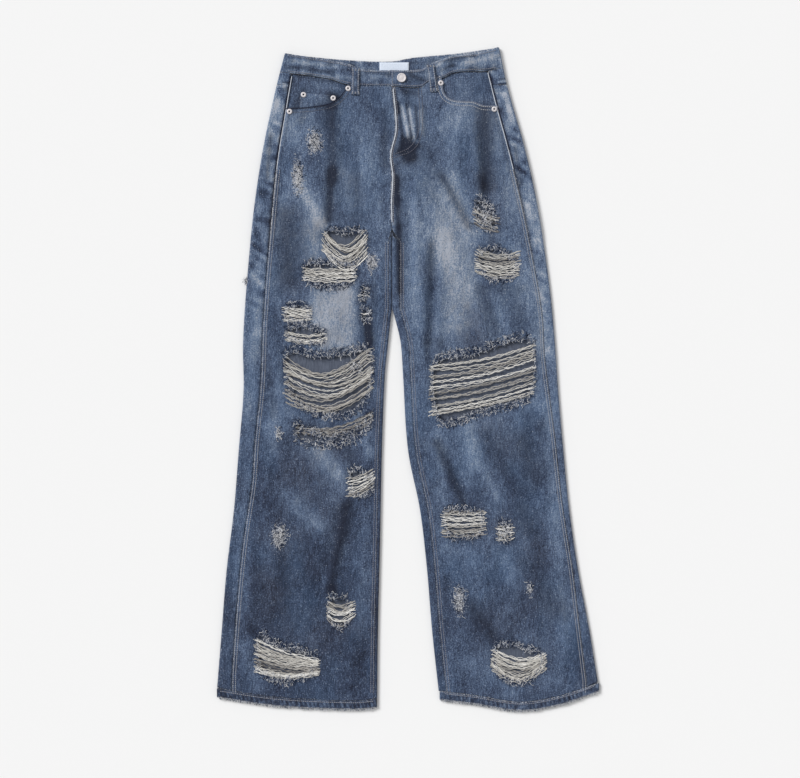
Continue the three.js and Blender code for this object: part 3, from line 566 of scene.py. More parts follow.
# %% Node helpers
def wire(tree, kind, inputs=None, **settings):
    """Adds a node; each input is a value or the output socket that feeds it."""
    node = tree.nodes.new(kind)
    for name, value in settings.items():
        setattr(node, name, value)
    for key, value in (inputs or {}).items():
        if isinstance(value, bpy.types.NodeSocket):
            tree.links.new(value, node.inputs[key])
        else:
            node.inputs[key].default_value = value
    return node


def maths(tree, operation, a, b=0.0, clamp=False):
    return wire(tree, "ShaderNodeMath", {0: a, 1: b}, operation=operation, use_clamp=clamp).outputs[0]


def blend_colour(tree, factor, a, b, blend_type="MIX"):
    node = wire(tree, "ShaderNodeMix", {0: factor, 6: a, 7: b}, data_type="RGBA", blend_type=blend_type)
    return node.outputs[2]


def ramp(tree, factor, stops):
    node = wire(tree, "ShaderNodeValToRGB", {0: factor})
    elements = node.color_ramp.elements
    while len(elements) < len(stops):
        elements.new(0.5)
    for element, (place, colour) in zip(elements, stops):
        element.position = place
        element.color = colour
    return node.outputs["Color"]


def grain(tree, scale, stretch=(1, 1, 1), detail=2.0, roughness=0.55):
    """Noise on object coordinates, stretched along the cloth."""
    spot = wire(tree, "ShaderNodeTexCoord").outputs["Object"]
    placed = wire(tree, "ShaderNodeMapping", {"Vector": spot, "Scale": stretch}).outputs[0]
    node = wire(tree, "ShaderNodeTexNoise",
                {"Vector": placed, "Scale": scale, "Detail": detail, "Roughness": roughness})
    return node.outputs["Fac"]


def new_group(name, inputs, outputs):
    group = bpy.data.node_groups.new(name, "ShaderNodeTree")
    for label, kind in inputs:
        group.interface.new_socket(label, in_out="INPUT", socket_type=kind)
    for label, kind in outputs:
        group.interface.new_socket(label, in_out="OUTPUT", socket_type=kind)
    return group, group.nodes.new("NodeGroupInput"), group.nodes.new("NodeGroupOutput")


# %% Colour of worn indigo
FLOAT = "NodeSocketFloat"
indigo, given, result = new_group(
    "worn_indigo",
    [("Fade", FLOAT), ("Dye_and_shade", FLOAT), ("Dirt", FLOAT), ("Rubbed", FLOAT), ("Inside", FLOAT)],
    [("Color", "NodeSocketColor")],
)
slub = maths(indigo, "SUBTRACT", grain(indigo, 520, (1, 0.16, 1), 3.0, 0.6), 0.5)
speckle = maths(indigo, "SUBTRACT", grain(indigo, 640, (1, 0.75, 1), 1.0, 0.7), 0.5)
mottle = maths(indigo, "SUBTRACT", grain(indigo, 95, (1, 0.6, 1), 4.0, 0.6), 0.5)
cloud = maths(indigo, "SUBTRACT", grain(indigo, 22, (1, 0.5, 1), 3.0), 0.5)
tone = given.outputs["Fade"]
for layer, amount in ((slub, 0.62), (speckle, 0.9), (mottle, 0.38), (cloud, 0.3)):
    tone = maths(indigo, "ADD", tone, maths(indigo, "MULTIPLY", layer, amount))
DENIM_SHADES = [
    (0.0, srgb(18, 23, 37)), (0.22, srgb(38, 46, 66)), (0.42, srgb(60, 73, 97)),
    (0.62, srgb(91, 108, 135)), (0.82, srgb(122, 137, 158)), (1.0, srgb(168, 174, 186)),
]
dyed = ramp(indigo, tone, DENIM_SHADES)
patchy = maths(indigo, "SUBTRACT", grain(indigo, 14, (1, 0.6, 1), 3.0), 0.46)
tint = maths(indigo, "MULTIPLY", patchy, 2.4, clamp=True)
dyed = blend_colour(indigo, maths(indigo, "MULTIPLY", tint, 0.34), dyed, srgb(66, 98, 134))
soil = maths(indigo, "MULTIPLY", given.outputs["Dirt"],
             maths(indigo, "ADD", 0.45, maths(indigo, "MULTIPLY", mottle, 1.6)), clamp=True)
soiled = blend_colour(indigo, maths(indigo, "MULTIPLY", soil, 0.6), dyed, srgb(84, 82, 86))
# Darkens toward navy by its second input: partly indigo kept in the creases, partly painted shade in
# creases and beside seams.
deep = blend_colour(indigo, given.outputs["Dye_and_shade"], soiled, srgb(18, 22, 38))
bare_thread = maths(indigo, "ADD", given.outputs["Rubbed"], maths(indigo, "MULTIPLY", speckle, 2.2))
bare_mask = wire(indigo, "ShaderNodeMapRange",
                 {"Value": bare_thread, "From Min": 0.4, "From Max": 0.95}).outputs[0]
rubbed = blend_colour(indigo, bare_mask, deep, srgb(186, 188, 194))
# The inner face seen through the tears: the pale weft side, its dark end painted shade under the loose
# threads.
weft_side_and_shade = ramp(indigo, maths(indigo, "ADD", 0.5, maths(indigo, "MULTIPLY", slub, 0.9)),
                 [(0.0, srgb(44, 50, 66)), (1.0, srgb(112, 120, 136))])
shown = blend_colour(indigo, given.outputs["Inside"], rubbed, weft_side_and_shade)
indigo.links.new(shown, result.inputs["Color"])

# %% Relief of the twill
relief, relief_given, relief_result = new_group(
    "twill_relief", [("Crumple", FLOAT)], [("Normal", "NodeSocketVector")]
)
spot = wire(relief, "ShaderNodeTexCoord").outputs["Object"]
TWILL_SLOPE = math.radians(28)
turned = wire(relief, "ShaderNodeMapping", {"Vector": spot, "Rotation": (0, 0, TWILL_SLOPE)})
waled = {"Vector": turned.outputs[0], "Scale": 150.0, "Distortion": 0.6}
twill = wire(relief, "ShaderNodeTexWave", waled).outputs["Fac"]
crumple = maths(relief, "ADD", grain(relief, 120, (1, 0.55, 1), 3.0, 0.6),
                maths(relief, "MULTIPLY", grain(relief, 48, (1, 0.4, 1), 2.0), 1.4))


def raised(tree, height, strength, distance, under=None):
    """A bump of a height in metres, laid over another bump if there is one."""
    inputs = {"Strength": strength, "Distance": distance, "Height": height}
    if under is not None:
        inputs["Normal"] = under
    return wire(tree, "ShaderNodeBump", inputs).outputs[0]


coarse = raised(relief, crumple, relief_given.outputs["Crumple"], 0.0035)
fine = raised(relief, twill, 0.5, 0.0004, coarse)
yarn_bump = raised(relief, grain(relief, 700, (1, 0.2, 1)), 0.5, 0.0006, fine)
relief.links.new(yarn_bump, relief_result.inputs["Normal"])


# %% Denim as a material
def attribute(tree, name):
    return wire(tree, "ShaderNodeAttribute", attribute_name=name).outputs["Fac"]


def denim(name, crumple_amount):
    material, tree, cloth = new_look(name, 0.88)
    cloth.inputs["Specular IOR Level"].default_value = 0.2
    cloth.inputs["Sheen Weight"].default_value = 0.12
    colour = wire(tree, "ShaderNodeGroup", node_tree=indigo)
    for socket in ("Fade", "Dye_and_shade", "Dirt", "Rubbed", "Inside"):
        tree.links.new(attribute(tree, socket.lower()), colour.inputs[socket])
    tree.links.new(colour.outputs["Color"], cloth.inputs["Base Color"])
    surface = wire(tree, "ShaderNodeGroup", node_tree=relief)
    surface.inputs["Crumple"].default_value = crumple_amount
    tree.links.new(surface.outputs["Normal"], cloth.inputs["Normal"])
    return material


DENIM_LOOKS = dict(
    front=denim("denim_front_cloth", 0.55), back=denim("denim_back_cloth", 0.5),
    trim=denim("denim_trim_cloth", 0.8), pocket=denim("pocket_cloth", 0.4),
)
print("denim looks:", ", ".join(DENIM_LOOKS))

# %% [markdown]
# ## From a sheet of points to cloth
# A panel starts as a flat net of triangles. Cutting it at a line where a distance changes sign leaves
# a clean edge, and a second layer under it, joined round every edge, makes it a closed wall.

# %% Cutting and closing cloth
TOO_NEAR = 0.05


def halved(a, b, c, d):
    """Two triangles for each square of a net."""
    first = np.stack([a, b, c], -1).reshape(-1, 3)
    second = np.stack([a, c, d], -1).reshape(-1, 3)
    return np.concatenate([first, second])


def net(x, y):
    """A grid of points and its triangles."""
    rows, columns = x.shape
    at = np.arange(rows * columns).reshape(rows, columns)
    triangles = halved(at[:-1, :-1], at[:-1, 1:], at[1:, 1:], at[1:, :-1])
    return np.stack([x.ravel(), y.ravel()], -1), triangles


def cut(points, triangles, distance):
    """Keeps the side of a net where distance(x, y) is positive."""
    level = distance(points[:, 0], points[:, 1])
    level = np.where(np.abs(level) < TOO_NEAR, -TOO_NEAR, level)
    kept = level > 0
    count = kept[triangles].sum(1)
    whole = triangles[count == 3]
    made, crossing = [], []
    for wanted in (1, 2):
        part = triangles[count == wanted]
        odd = np.argmax(kept[part] == (wanted == 1), 1)
        corner = [part[np.arange(len(part)), (odd + k) % 3] for k in range(3)]
        made.append(corner)
        crossing += [np.stack([corner[0], corner[1]], -1), np.stack([corner[0], corner[2]], -1)]
    pairs = np.sort(np.concatenate(crossing), 1)
    unique, back = np.unique(pairs, axis=0, return_inverse=True)
    back = back.ravel() + len(points)
    share = level[unique[:, 0]] / (level[unique[:, 0]] - level[unique[:, 1]])
    share = np.clip(share, 0.02, 0.98)[:, None]
    added = points[unique[:, 0]] * (1 - share) + points[unique[:, 1]] * share
    sizes = np.cumsum([len(c) for c in crossing])[:-1]
    ab1, ac1, ab2, ac2 = np.split(back, sizes)
    (a, _, _), (_, b, c) = made
    triangles = np.concatenate([
        whole, np.stack([a, ab1, ac1], -1), np.stack([ab2, b, c], -1), np.stack([ab2, c, ac2], -1),
    ])
    used, renumbered = np.unique(triangles, return_inverse=True)
    return np.concatenate([points, added])[used], renumbered.reshape(-1, 3)


def keep_pieces(triangles, count, smallest):
    """Drops scraps of cloth that a ragged cut left loose."""
    label = np.arange(count)
    for _ in range(count):
        lowest = label[triangles].min(1)
        before = label.copy()
        np.minimum.at(label, triangles.ravel(), np.repeat(lowest, 3))
        label = label[label]
        if (label == before).all():
            break
    sizes = np.bincount(label[triangles[:, 0]], minlength=count)
    return triangles[sizes[label[triangles[:, 0]]] >= smallest]


# %% From arrays to an object
ALL = "root"


def make_mesh(name, points, triangles, layers, material, smooth=True):
    mesh = bpy.data.meshes.new(name)
    mesh.vertices.add(len(points))
    mesh.vertices.foreach_set("co", (points * MM).astype(np.float32).ravel())
    mesh.loops.add(triangles.size)
    mesh.loops.foreach_set("vertex_index", triangles.astype(np.int32).ravel())
    mesh.polygons.add(len(triangles))
    mesh.polygons.foreach_set("loop_start", np.arange(0, triangles.size, 3, dtype=np.int32))
    mesh.polygons.foreach_set("use_smooth", np.full(len(triangles), smooth))
    mesh.update(calc_edges=True)
    for layer, values in layers.items():
        mesh.attributes.new(layer, "FLOAT", "POINT").data.foreach_set("value", values.astype(np.float32))
    mesh.materials.append(material)
    piece = bpy.data.objects.new(name, mesh)
    scene.collection.objects.link(piece)
    return piece


# %% Cloth with two faces and an edge
WORN_EDGE = 0.35


def closed_wall(name, outer, normal, triangles, thickness, layers, material, weft_inside=True):
    """Cloth of a thickness under its outer points, closed round every edge."""
    used, renumbered = np.unique(triangles, return_inverse=True)
    triangles = renumbered.reshape(-1, 3)
    outer, normal = outer[used], normal[used]
    layers = {key: value[used] for key, value in layers.items()}
    a, b, c = (outer[triangles[:, k]] for k in range(3))
    across = np.cross(b - a, c - a)
    if (across * normal[triangles[:, 0]]).sum() < 0:
        triangles = triangles[:, ::-1]
    count = len(outer)
    inner = outer - normal * thickness
    sides = np.concatenate([triangles[:, [0, 1]], triangles[:, [1, 2]], triangles[:, [2, 0]]])
    forward = sides[:, 0] * count + sides[:, 1]
    backward = sides[:, 1] * count + sides[:, 0]
    rim = sides[~np.isin(forward, backward)]
    p, q = rim[:, 0], rim[:, 1]
    walls = np.concatenate([np.stack([q, p, p + count], -1), np.stack([q, p + count, q + count], -1)])
    faces = np.concatenate([triangles, triangles[:, ::-1] + count, walls])
    doubled = {key: np.concatenate([value, value]) for key, value in layers.items()}
    doubled["inside"] = np.concatenate([np.zeros(count), np.full(count, float(weft_inside))])
    edge = np.zeros(count)
    edge[rim.ravel()] = 1
    doubled["rubbed"] = np.clip(doubled["rubbed"] + WORN_EDGE * np.concatenate([edge, edge]), 0, 1)
    piece = make_mesh(name, np.concatenate([outer, inner]), faces, doubled, material)
    return piece


# %% What a cloth hides when it is put in, and the maps it carries
def finish_cloth(piece, node):
    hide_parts(node)
    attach(piece, ALL)


def cloth_layers(x, y, leg_name=None, fade_shift=0.0):
    layers = dict(fade=fade_at(x, y) + fade_shift, dye_and_shade=dye_and_shade_at(x, y), dirt=dirt_at(x, y))
    layers["rubbed"] = rubbed_at(x, y, leg_name) if leg_name else np.zeros(np.shape(x))
    if leg_name:
        layers["dye_and_shade"] = np.maximum(layers["dye_and_shade"], fringe_shade(x, y, leg_name))
    return layers


# %% [markdown]
# ## Front panels
# Each front runs from the outseam to the fly or inseam, under the waistband and down to the hem.
# Its net follows those seams, so its long edges are clean, and the tears are cut out of it.

# %% Front panels
POCKET_EDGE_RIGHT = [[-98, 484], [-112, 465], [-129, 454], [-162, 448], [-202, 446]]
POCKET_EDGE_LEFT = [[54, 498], [60, 470], [76, 459], [106, 457], [124, 451], [148, 450]]
NET_STEP = 3.0
NET_LOW, NET_HIGH = -540, 525
NET_WIDTH = 250
SMALLEST_SCRAP = 300


def spline(marks, steps=10):
    """An open smooth line through its marks."""
    marks = np.array(marks, float)
    padded = np.concatenate([[2 * marks[0] - marks[1]], marks, [2 * marks[-1] - marks[-2]]])
    rows = []
    for i in range(len(marks) - 1):
        before, start, end, after = padded[i:i + 4]
        rows += [between(before, start, end, after, t) for t in np.arange(steps) / steps]
    return np.array([*rows, marks[-1]])


def pocket_mouth(leg, edge):
    corner = [[leg["side"] * 260, edge[-1][1]], [leg["side"] * 260, 560], [edge[0][0], 560]]
    return np.concatenate([spline(edge), corner])


def front_x(leg, y, t):
    seam = inner_edge(leg, y) + leg["side"] * (leg["inset"] + GAP / 2)
    fly = fly_edge(np.maximum(y, CROTCH)) + leg["side"] * GAP / 2
    return lerp(leg["outseam"](y) - leg["side"] * GAP / 2, lerp(fly, seam, curl(y)), t)


# %% The two fronts
def front_panel(name, leg, leg_name, edge):
    levels = np.linspace(NET_LOW, NET_HIGH, int((NET_HIGH - NET_LOW) / NET_STEP))
    across = np.linspace(0, 1, int(NET_WIDTH / NET_STEP))
    y, t = np.meshgrid(levels, across, indexing="ij")
    points, triangles = net(front_x(leg, y, t), y)
    mouth = pocket_mouth(leg, edge)
    for distance in (
        lambda px, py: front_band_bottom(px) - GAP - py,
        lambda px, py: py - leg["hem"](px) - HEM_DEPTH - GAP,
        lambda px, py: outside(px, py, mouth),
        lambda px, py: torn(px, py, leg_name),
    ):
        points, triangles = cut(points, triangles, distance)
    triangles = keep_pieces(triangles, len(points), SMALLEST_SCRAP)
    x, y = points[:, 0], points[:, 1]
    outer = np.stack([x, y, face(x, y)], -1)
    layers = cloth_layers(x, y, leg_name)
    beside_seam = np.abs(x - leg["outseam"](y))
    beside_fly = np.where(y > 262, np.abs(x - fly_edge(y)), 50.0)
    broken = 0.72 + 0.28 * waves(x, y, 61, 26)
    strength = lerp(0.1, 1.0, smoothstep(y, 150, 330))
    worn = strength * np.exp(-(beside_seam / 1.8) ** 2) * broken + np.exp(-(beside_fly / 2.0) ** 2)
    layers["rubbed"] = np.clip(layers["rubbed"] + worn, 0, 1)
    kept_dye = 0.3 * strength * np.exp(-((beside_seam - 7) / 2.5) ** 2)
    layers["dye_and_shade"] = np.clip(layers["dye_and_shade"] + kept_dye, 0, 0.9)
    return closed_wall(name, outer, face_normal(x, y), triangles, DENIM, layers, DENIM_LOOKS["front"])


front_right = front_panel("front_right", RIGHT, "right", POCKET_EDGE_RIGHT)
front_left = front_panel("front_left", LEFT, "left", POCKET_EDGE_LEFT)

# %% [markdown]
# ## Back panels and yokes
# A back panel starts at the outseam on top, turns round the pressed outer fold, lies on the floor
# and comes up round the inner fold to the inseam. One number, the turn, says how far round a point is.

# %% Once round a leg
def back_points(leg, y, turn):
    """Outer points and normals of a back panel; turn runs from 0 at the outseam to 5 at the inseam."""
    side = leg["side"]
    low = underside(y)
    fold_x = leg["outer"](y) - side * FOLD_RADIUS
    top_x = lerp(leg["outseam"](y) + side * GAP / 2, fold_x, np.clip(turn, 0, 1))
    top = np.stack([top_x, y, face(top_x, y)], -1)
    top_normal = face_normal(top_x, y)
    half = (face(fold_x, y) - low) / 2
    angle = math.pi * (1.5 - np.clip(turn, 1, 2))
    round_x = fold_x + side * FOLD_RADIUS * np.cos(angle)
    bend = np.stack([round_x, y, low + half * (1 + np.sin(angle))], -1)
    bend_normal = np.stack([side * np.cos(angle) / FOLD_RADIUS, 0 * y, np.sin(angle) / half], -1)
    curled = curl(y)
    sweep = math.pi * np.maximum(curled, 0.02)
    radius = math.pi * FOLD_RADIUS / sweep
    tail = lerp(0.6, leg["inset"] - FOLD_RADIUS - GAP / 2, smoothstep(curled, 0.7, 1))
    straight = np.where(curled < 0.5, tail * np.cos(sweep), 0)
    reach_in = radius * np.sin(np.minimum(sweep, math.pi / 2)) + straight
    start_x = inner_edge(leg, y) + side * reach_in
    flat = np.stack([lerp(fold_x, start_x, np.clip(turn - 2, 0, 1)), y, low], -1)
    flat_normal = np.zeros_like(flat)
    flat_normal[..., 2] = -1
    stretch = (face(start_x, y) - low) / (2 * FOLD_RADIUS)
    swept = sweep * np.clip(turn - 3, 0, 1)
    along = tail * np.clip(turn - 4, 0, 1)
    curl_x = start_x - side * (radius * np.sin(swept) + along * np.cos(swept))
    curl_z = low + stretch * radius * (1 - np.cos(swept)) + along * np.sin(swept)
    curl_z = np.where((curled >= 1) & (turn >= 4), face(curl_x, y), curl_z)
    rolled = np.stack([curl_x, y, curl_z], -1)
    rolled_normal = np.stack([-side * np.sin(swept), 0 * y, -np.cos(swept)], -1)
    pick = turn[..., None]
    place = np.where(pick <= 1, top, np.where(pick < 2, bend, np.where(pick <= 3, flat, rolled)))
    normal = np.where(pick <= 1, top_normal,
                      np.where(pick < 2, bend_normal, np.where(pick <= 3, flat_normal, rolled_normal)))
    return place, normal / np.linalg.norm(normal, axis=-1, keepdims=True)


# %% Where the back begins and ends
def meet(line, x_at, start):
    """The y at which a line and a side of the leg cross, found by trying again a few times."""
    y = line(x_at(start))
    for _ in range(4):
        y = line(x_at(y))
    return y


def yoke_seam(turn):
    return lerp(484.0, 428.0, np.clip(turn - 2, 0, 1) ** 0.85)


TURNS = np.concatenate([
    np.linspace(0, 1, 10), np.linspace(1, 2, 9)[1:], np.linspace(2, 3, 46)[1:], np.linspace(3, 4, 9)[1:],
    np.linspace(4, 5, 5)[1:],
])


def x_of(leg, turn):
    return lambda y: back_points(leg, y, turn)[0][..., 0]


# %% Back panels and yokes
def back_cloth(name, leg, top, bottom, step, look):
    count = int(np.max(top - bottom) / step) + 2
    share = np.linspace(0, 1, count)[:, None]
    y = lerp(bottom[None, :], top[None, :], share)
    turn = np.broadcast_to(TURNS, y.shape).copy()
    place, normal = back_points(leg, y, turn)
    _, triangles = net(y, turn)
    place, normal = place.reshape(-1, 3), normal.reshape(-1, 3)
    x, y = place[:, 0], place[:, 1]
    layers = cloth_layers(x, y)
    turned = turn.ravel()
    layers["fade"] = layers["fade"] + 0.05 * (turned < 1.4) - 0.04 * (turned > 2)
    from_seam = np.abs(x - leg["outseam"](y))
    on_top = (turned < 1).astype(float)
    # A dark line beside the outseam on the top strip, stronger towards the waist: unworn indigo and painted
    # shade in the seam's gap.
    edge_dye_and_shade = lerp(0.15, 0.85, smoothstep(y, 120, 300)) * np.exp(-(from_seam / 3.4) ** 2)
    layers["dye_and_shade"] = np.clip(layers["dye_and_shade"] + edge_dye_and_shade * on_top, 0, 0.9)
    ropes = np.sin(y / 3.6 + 0.15 * x + 2 * waves(x, y, 62, 60))
    ropes = ropes * (0.5 + 0.5 * waves(x, y, 63, 50)) * on_top
    blocks = waves(x, y, 64, 34) * on_top
    layers["fade"] = layers["fade"] + (0.2 * ropes + 0.12 * blocks) * smoothstep(y, -60, 220)
    rolled_edge = np.exp(-((turned - 1.25) / 0.3) ** 2)
    layers["rubbed"] = np.clip(layers["rubbed"] + 0.3 * rolled_edge, 0, 1)
    return closed_wall(name, place, normal, triangles, DENIM, layers, look)


def back_panel(name, leg):
    hem_at = meet(leg["hem"], x_of(leg, TURNS), np.full(len(TURNS), -530.0)) + HEM_DEPTH + GAP
    return back_cloth(name, leg, yoke_seam(TURNS) - GAP / 2, hem_at, 4.5, DENIM_LOOKS["back"])


def yoke(name, leg):
    front_turn, back_turn = np.minimum(TURNS, 1), np.maximum(TURNS, 2)
    start = np.full(len(TURNS), 500.0)
    front_y = meet(front_band_bottom, x_of(leg, front_turn), start)
    back_y = meet(back_band_bottom, x_of(leg, back_turn), start)
    top = lerp(front_y, back_y, smoothstep(TURNS, 1, 2)) - GAP
    return back_cloth(name, leg, top, yoke_seam(TURNS) + GAP / 2, 3.5, DENIM_LOOKS["back"])


back_right = back_panel("back_right", RIGHT)
back_left = back_panel("back_left", LEFT)
yoke_right = yoke("yoke_right_cloth", RIGHT)
yoke_left = yoke("yoke_left_cloth", LEFT)

# %% [markdown]
# ## Waistband
# The band is one folded strip. It starts at the lap by the button, goes round the back, and ends
# under the lap. Sewing pulls it into small diagonal puckers, and its edges are rubbed pale.

# %% Waistband
BAND_FACE = 8.4
BAND_THICKNESS = 2.2
LAP_RISE = BAND_THICKNESS + GAP
LAP_START, LAP_END = -28.0, 10.0


def band_row(upper):
    """Points and normals once round the band, at a share of its height."""
    round_off = 0.8 * (np.exp(-(upper / 0.05)) + np.exp(-((1 - upper) / 0.05)))

    def pucker(x):
        pull = 0.35 * np.sin((x + 22 * upper) / 2.3) * math.sin(math.pi * upper)
        return pull + 0.4 * waves(x, 30 * upper, 31, 22)

    def front_part(x, lapped):
        rise = LAP_RISE * (1 - smoothstep(x, LAP_END + 2, LAP_END + 16)) if lapped else 0 * x
        y = lerp(front_band_bottom(x), front_band_top(x), upper)
        calm = smoothstep(np.abs(x - 0.5 * (LAP_START + LAP_END)), 14, 34) if not lapped else 1.0
        z = BAND_FACE + rise + pucker(x) * calm - round_off
        return np.stack([x, y, z], -1), np.tile([0.0, 0.0, 1.0], (len(x), 1))

    def fold_part(leg, fold_x, angle):
        y = lerp(front_band_bottom(fold_x), front_band_top(leg["side"] * 1000.0), upper)
        half = (BAND_FACE - SEAT_LIFT) / 2
        x = leg["outer"](y) - leg["side"] * FOLD_RADIUS * (1 - np.cos(angle))
        z = SEAT_LIFT + half * (1 + np.sin(angle))
        normal = np.stack([leg["side"] * np.cos(angle) / FOLD_RADIUS, 0 * angle, np.sin(angle) / half], -1)
        return np.stack([x, y + 0 * x, z], -1), normal / np.linalg.norm(normal, axis=-1, keepdims=True)

    def back_part(x):
        y = lerp(back_band_bottom(x), back_band_top(x), upper)
        return np.stack([x, y, np.full(len(x), SEAT_LIFT)], -1), np.tile([0.0, 0.0, -1.0], (len(x), 1))

    angle = np.linspace(math.pi / 2, -math.pi / 2, 9)
    parts = [
        front_part(np.linspace(LAP_START, 138, 66), True), fold_part(LEFT, 153.0, angle),
        back_part(np.linspace(138, -188, 90)), fold_part(RIGHT, -207.0, angle[::-1]),
        front_part(np.linspace(-188, LAP_END, 78), False),
    ]
    return [np.concatenate(column) for column in zip(*parts)]


# %% The band as cloth
BAND_SHARES = (0, 0.04, 0.1, 0.18, 0.27, 0.36, 0.45, 0.55, 0.64, 0.73, 0.82, 0.9, 0.96, 1.0)
rows = [band_row(upper) for upper in BAND_SHARES]
place = np.stack([row[0] for row in rows])
normal = np.stack([row[1] for row in rows])
_, triangles = net(place[..., 0], place[..., 1])
x, y = place[..., 0].ravel(), place[..., 1].ravel()
# The band's darker waves stand for painted shade in its small creases.
band_layers = dict(
    fade=0.56 + 0.14 * smoothstep(x, 40, 120) + 0.07 * waves(x, y, 33, 26) + 0.7 * (fade_at(x, y) - 0.54),
    dye_and_shade=np.clip(0.08 + 0.2 * waves(x, y * 2.2, 34, 22) + dye_and_shade_at(x, y), 0, 0.85),
    dirt=np.full(len(x), 0.1), rubbed=np.zeros(len(x)),
)
upper_share = np.repeat(BAND_SHARES, place.shape[1])
band_layers["rubbed"] = 0.34 * (upper_share > 0.9) + 0.28 * (upper_share < 0.03)
place, normal = place.reshape(-1, 3), normal.reshape(-1, 3)
band = closed_wall("waistband_cloth", place, normal, triangles, BAND_THICKNESS, band_layers,
                   DENIM_LOOKS["trim"], weft_inside=False)

# %% [markdown]
# ## Hems
# A hem is the leg's end turned up twice and stitched, so it is thick, ropy and rubbed white along
# its lower edge. It is a flattened ring, and its puckers lean the same way all round.

# %% Hems
HEM_THICKNESS = 2.4
HEM_FACE = 6.6


def hem_cloth(name, leg):
    side, half = leg["side"], HEM_FACE / 2
    inner_x = float(leg["inner_fold"](-1000.0)) + side * half
    outer_x = float(leg["outer"](-1000.0)) - side * half
    across = np.linspace(inner_x, outer_x, 180)
    angle = np.linspace(math.pi / 2, -math.pi / 2, 9)[1:-1]
    shares = np.array([0, 0.06, 0.2, 0.4, 0.6, 0.8, 1.0])
    grid, normals = [], []
    for share in shares:
        lift = share * HEM_DEPTH
        puff = 0.5 * np.sin((across + 9 * share) / 2.1) * math.sin(math.pi * share)
        puff = puff + 0.3 * waves(across, 0 * across, 44, 18)
        drop = 0.8 * math.exp(-share / 0.05) + 0.5 * math.exp(-(1 - share) / 0.08)
        y = leg["hem"](across) + lift
        top = np.stack([across, y, HEM_FACE + puff - drop], -1)
        low = np.stack([across[::-1], y[::-1], 0 * across], -1)

        def bend(centre, way, turn):
            return np.stack([centre + way * half * np.cos(turn), 0 * turn + leg["hem"](centre) + lift,
                             half * (1 + np.sin(turn))], -1)

        outer_bend, inner_bend = bend(outer_x, side, angle), bend(inner_x, -side, angle[::-1])
        grid.append(np.concatenate([top, outer_bend, low, inner_bend]))
        up, down = np.tile([0.0, 0, 1], (len(across), 1)), np.tile([0.0, 0, -1], (len(across), 1))
        out = np.stack([side * np.cos(angle), 0 * angle, np.sin(angle)], -1)
        back = np.stack([-side * np.cos(angle[::-1]), 0 * angle, np.sin(angle[::-1])], -1)
        normals.append(np.concatenate([up, out, down, back]))
    place, normal = np.stack(grid), np.stack(normals)
    rows, columns = place.shape[:2]
    at = np.arange(rows * columns).reshape(rows, columns)
    beside_at = np.roll(at, -1, 1)
    triangles = halved(at[:-1], beside_at[:-1], beside_at[1:], at[1:])
    x, y = place[..., 0].ravel(), place[..., 1].ravel()
    share = np.repeat(shares, columns)
    beat = np.sin(x / 1.15 + 1.5 * waves(x, 0 * x, 51, 60) + 0.25 * (y - leg["hem"](x)))
    roping = 0.26 * beat * (0.55 + 0.45 * waves(x, 0 * x, 52, 70))
    roping = roping * np.sin(math.pi * np.clip(share, 0.05, 0.95))
    layers = dict(
        fade=0.36 + 0.06 * (side > 0) + 0.1 * waves(x, y, 46, 16) + roping,
        dye_and_shade=0.1 + 0.14 * waves(x, y, 47, 20).clip(0, 2),
        dirt=np.full(len(x), 0.25),
        rubbed=0.6 * (share < 0.08) + 0.3 * (share > 0.9) * (side > 0),
    )
    place, normal = place.reshape(-1, 3), normal.reshape(-1, 3)
    return closed_wall(name, place, normal, triangles, HEM_THICKNESS, layers, DENIM_LOOKS["trim"],
                       weft_inside=False)


hem_right = hem_cloth("hem_right_cloth", RIGHT)
hem_left = hem_cloth("hem_left_cloth", LEFT)

# %% [markdown]
# ## Pocket facings, coin pocket, loops, back pockets and label
# These are small flat patches. A helper makes any of them from a function that gives its height,
# so a facing follows the front above it and a belt loop arches over the band.

# %% Small patches
def patch(name, x, y, z, thickness, look, fade_value, up=1.0, fade_shift=0.0, dirt=0.25):
    _, triangles = net(x, y)
    flat_x, flat_y, flat_z = x.ravel(), y.ravel(), z.ravel()
    normal = np.tile([0.0, 0.0, up], (len(flat_x), 1))
    layers = cloth_layers(flat_x, flat_y, fade_shift=fade_shift)
    if fade_value is not None:
        layers["fade"] = np.full(len(flat_x), fade_value) + 0.05 * waves(flat_x, flat_y, 51, 14)
        layers["dye_and_shade"] = np.full(len(flat_x), 0.05)
    layers["dirt"] = np.full(len(flat_x), dirt)
    outer = np.stack([flat_x, flat_y, flat_z], -1)
    return closed_wall(name, outer, normal, triangles, thickness, layers, look)


# %% Pocket facings and coin pocket
LAYER = DENIM + GAP


def facing(name, leg, edge):
    edge_at = curve(sorted(edge))
    inside_x = edge[0][0] - leg["side"] * 12.0
    t, u = np.meshgrid(np.linspace(0, 1, 22), np.linspace(0, 1, 34), indexing="ij")
    rough_x = lerp(inside_x, float(leg["outseam"](470.0)), u)
    low = np.minimum(edge_at(rough_x), 470) - 12
    y = lerp(front_band_bottom(rough_x) - GAP, low, t)
    x = lerp(inside_x, leg["outseam"](y) + leg["side"] * 3.0, u)
    y = np.minimum(y, front_band_bottom(x) - GAP)
    return patch(name, x, y, face(x, y) - 2 * LAYER, DENIM, DENIM_LOOKS["pocket"], None, fade_shift=-0.08)


facing_right = facing("facing_right", RIGHT, POCKET_EDGE_RIGHT)
facing_left = facing("facing_left", LEFT, POCKET_EDGE_LEFT)
t, x = np.meshgrid(np.linspace(0, 1, 14), np.linspace(-178, -119, 22), indexing="ij")
y = lerp(lerp(472.0, 466.0, (x + 178) / 59), 436.0, t)
coin = patch("coin_pocket_cloth", x, y, face(x, y) - LAYER, DENIM, DENIM_LOOKS["pocket"], None,
             fade_shift=0.02)

